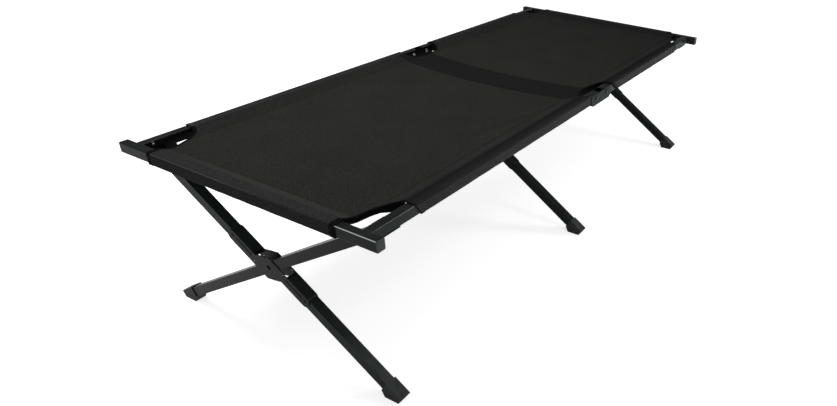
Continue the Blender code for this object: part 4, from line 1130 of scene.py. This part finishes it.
# %% [markdown]
# ## Studio
# The photograph is a catalogue cut-out, white all round and softly lit. A softbox hangs high on the left,
# and a low fill lights the right side. A small card gives the near leg its glint above the foot. The floor
# and the sky are white for the camera. Metal mirrors a dimmer white that fades upward, so that the dark coat
# keeps its depth. The floor glows only for the camera and faintly in mirrors, and the sky lights the cot at
# less than half of the white that the camera sees.

# %% Floor
def studio_floor():
    """A matt white plane that glows for the camera and in mirrors only."""
    mesh = bpy.data.meshes.new("studio_floor")
    reach = 40.0
    mesh.from_pydata([(-reach, -reach, 0), (reach, -reach, 0), (reach, reach, 0), (-reach, reach, 0)], [],
                     [(0, 1, 2, 3)])
    material, tree = new_material("matt_white_studio_floor")
    path = add(tree, "ShaderNodeLightPath").outputs
    seen = add(tree, MATH, (path["Is Glossy Ray"], path["Is Transmission Ray"]), operation="MAXIMUM")
    seen = add(tree, MATH, (path["Is Camera Ray"], seen), operation="MAXIMUM")
    paint = add(tree, "ShaderNodeBsdfDiffuse", {"Color": (0.85, 0.85, 0.85, 1.0)})
    strength = add(tree, RANGE, (path["Is Camera Ray"], 0.0, 1.0, 0.15, 0.7))
    glow = add(tree, "ShaderNodeEmission", {"Color": (1, 1, 1, 1), "Strength": strength})
    lit = add(tree, "ShaderNodeAddShader", (paint, glow))
    mixed = add(tree, "ShaderNodeMixShader", (seen, paint, lit))
    add(tree, "ShaderNodeOutputMaterial", {"Surface": mixed})
    mesh.materials.append(material)
    floor = bpy.data.objects.new("studio_floor", mesh)
    bpy.context.scene.collection.objects.link(floor)


studio_floor()
print("floor laid")


# %% Lamps
def soft_lamp(name, place, target, size, watts):
    """A round softbox that faces a target, out of the camera's sight."""
    light = bpy.data.lights.new(name, "AREA")
    light.shape = "DISK"
    light.size = size
    light.energy = watts
    lamp = bpy.data.objects.new(name, light)
    lamp.location = place
    lamp.rotation_euler = (Vector(target) - Vector(place)).to_track_quat("-Z", "Y").to_euler()
    lamp.visible_camera = False
    bpy.context.scene.collection.objects.link(lamp)
    return light


CARD_DISTANCE = 1.6
soft_lamp("key_softbox", place=(-0.6, 1.0, 3.0), target=(-0.5, -0.1, 0.5), size=1.3, watts=54.0)
soft_lamp("low_fill", place=(1.3, -2.6, 0.42), target=(0.6, -0.4, 0.5), size=0.7, watts=60.0)
ankle, leg_normal = Vector((-0.957, -0.39, 0.03)), Vector((0.0, -0.532, 0.847))
to_camera = (camera.location - ankle).normalized()
mirrored = 2 * leg_normal.dot(to_camera) * leg_normal - to_camera
card_place = ankle + CARD_DISTANCE * mirrored
glint = soft_lamp("leg_glint_card", place=card_place, target=ankle, size=0.2, watts=1.9)
glint.diffuse_factor = 0.0
print("the glint card is at", [round(v, 2) for v in card_place])

# %% Sky
world = bpy.data.worlds.new("white_studio")
bpy.context.scene.world = world
world.use_nodes = True
sky_tree = world.node_tree
sky_tree.nodes.clear()
sky_path = add(sky_tree, "ShaderNodeLightPath").outputs
direction = add(sky_tree, "ShaderNodeTexCoord").outputs["Generated"]
height = add(sky_tree, "ShaderNodeSeparateXYZ", (direction,)).outputs[2]
in_mirrors = add(sky_tree, RANGE, (height, 0.02, 0.24, 0.7, 0.07))
unseen = add(sky_tree, MIX, {0: sky_path["Is Glossy Ray"], 2: 0.4, 3: in_mirrors})
sky_level = add(sky_tree, MIX, {0: sky_path["Is Camera Ray"], 2: unseen, 3: 1.0})
sky = add(sky_tree, "ShaderNodeBackground", {"Color": (1, 1, 1, 1), "Strength": sky_level})
add(sky_tree, "ShaderNodeOutputWorld", {"Surface": sky})
bpy.context.scene.view_settings.view_transform = "Standard"
print("studio ready")
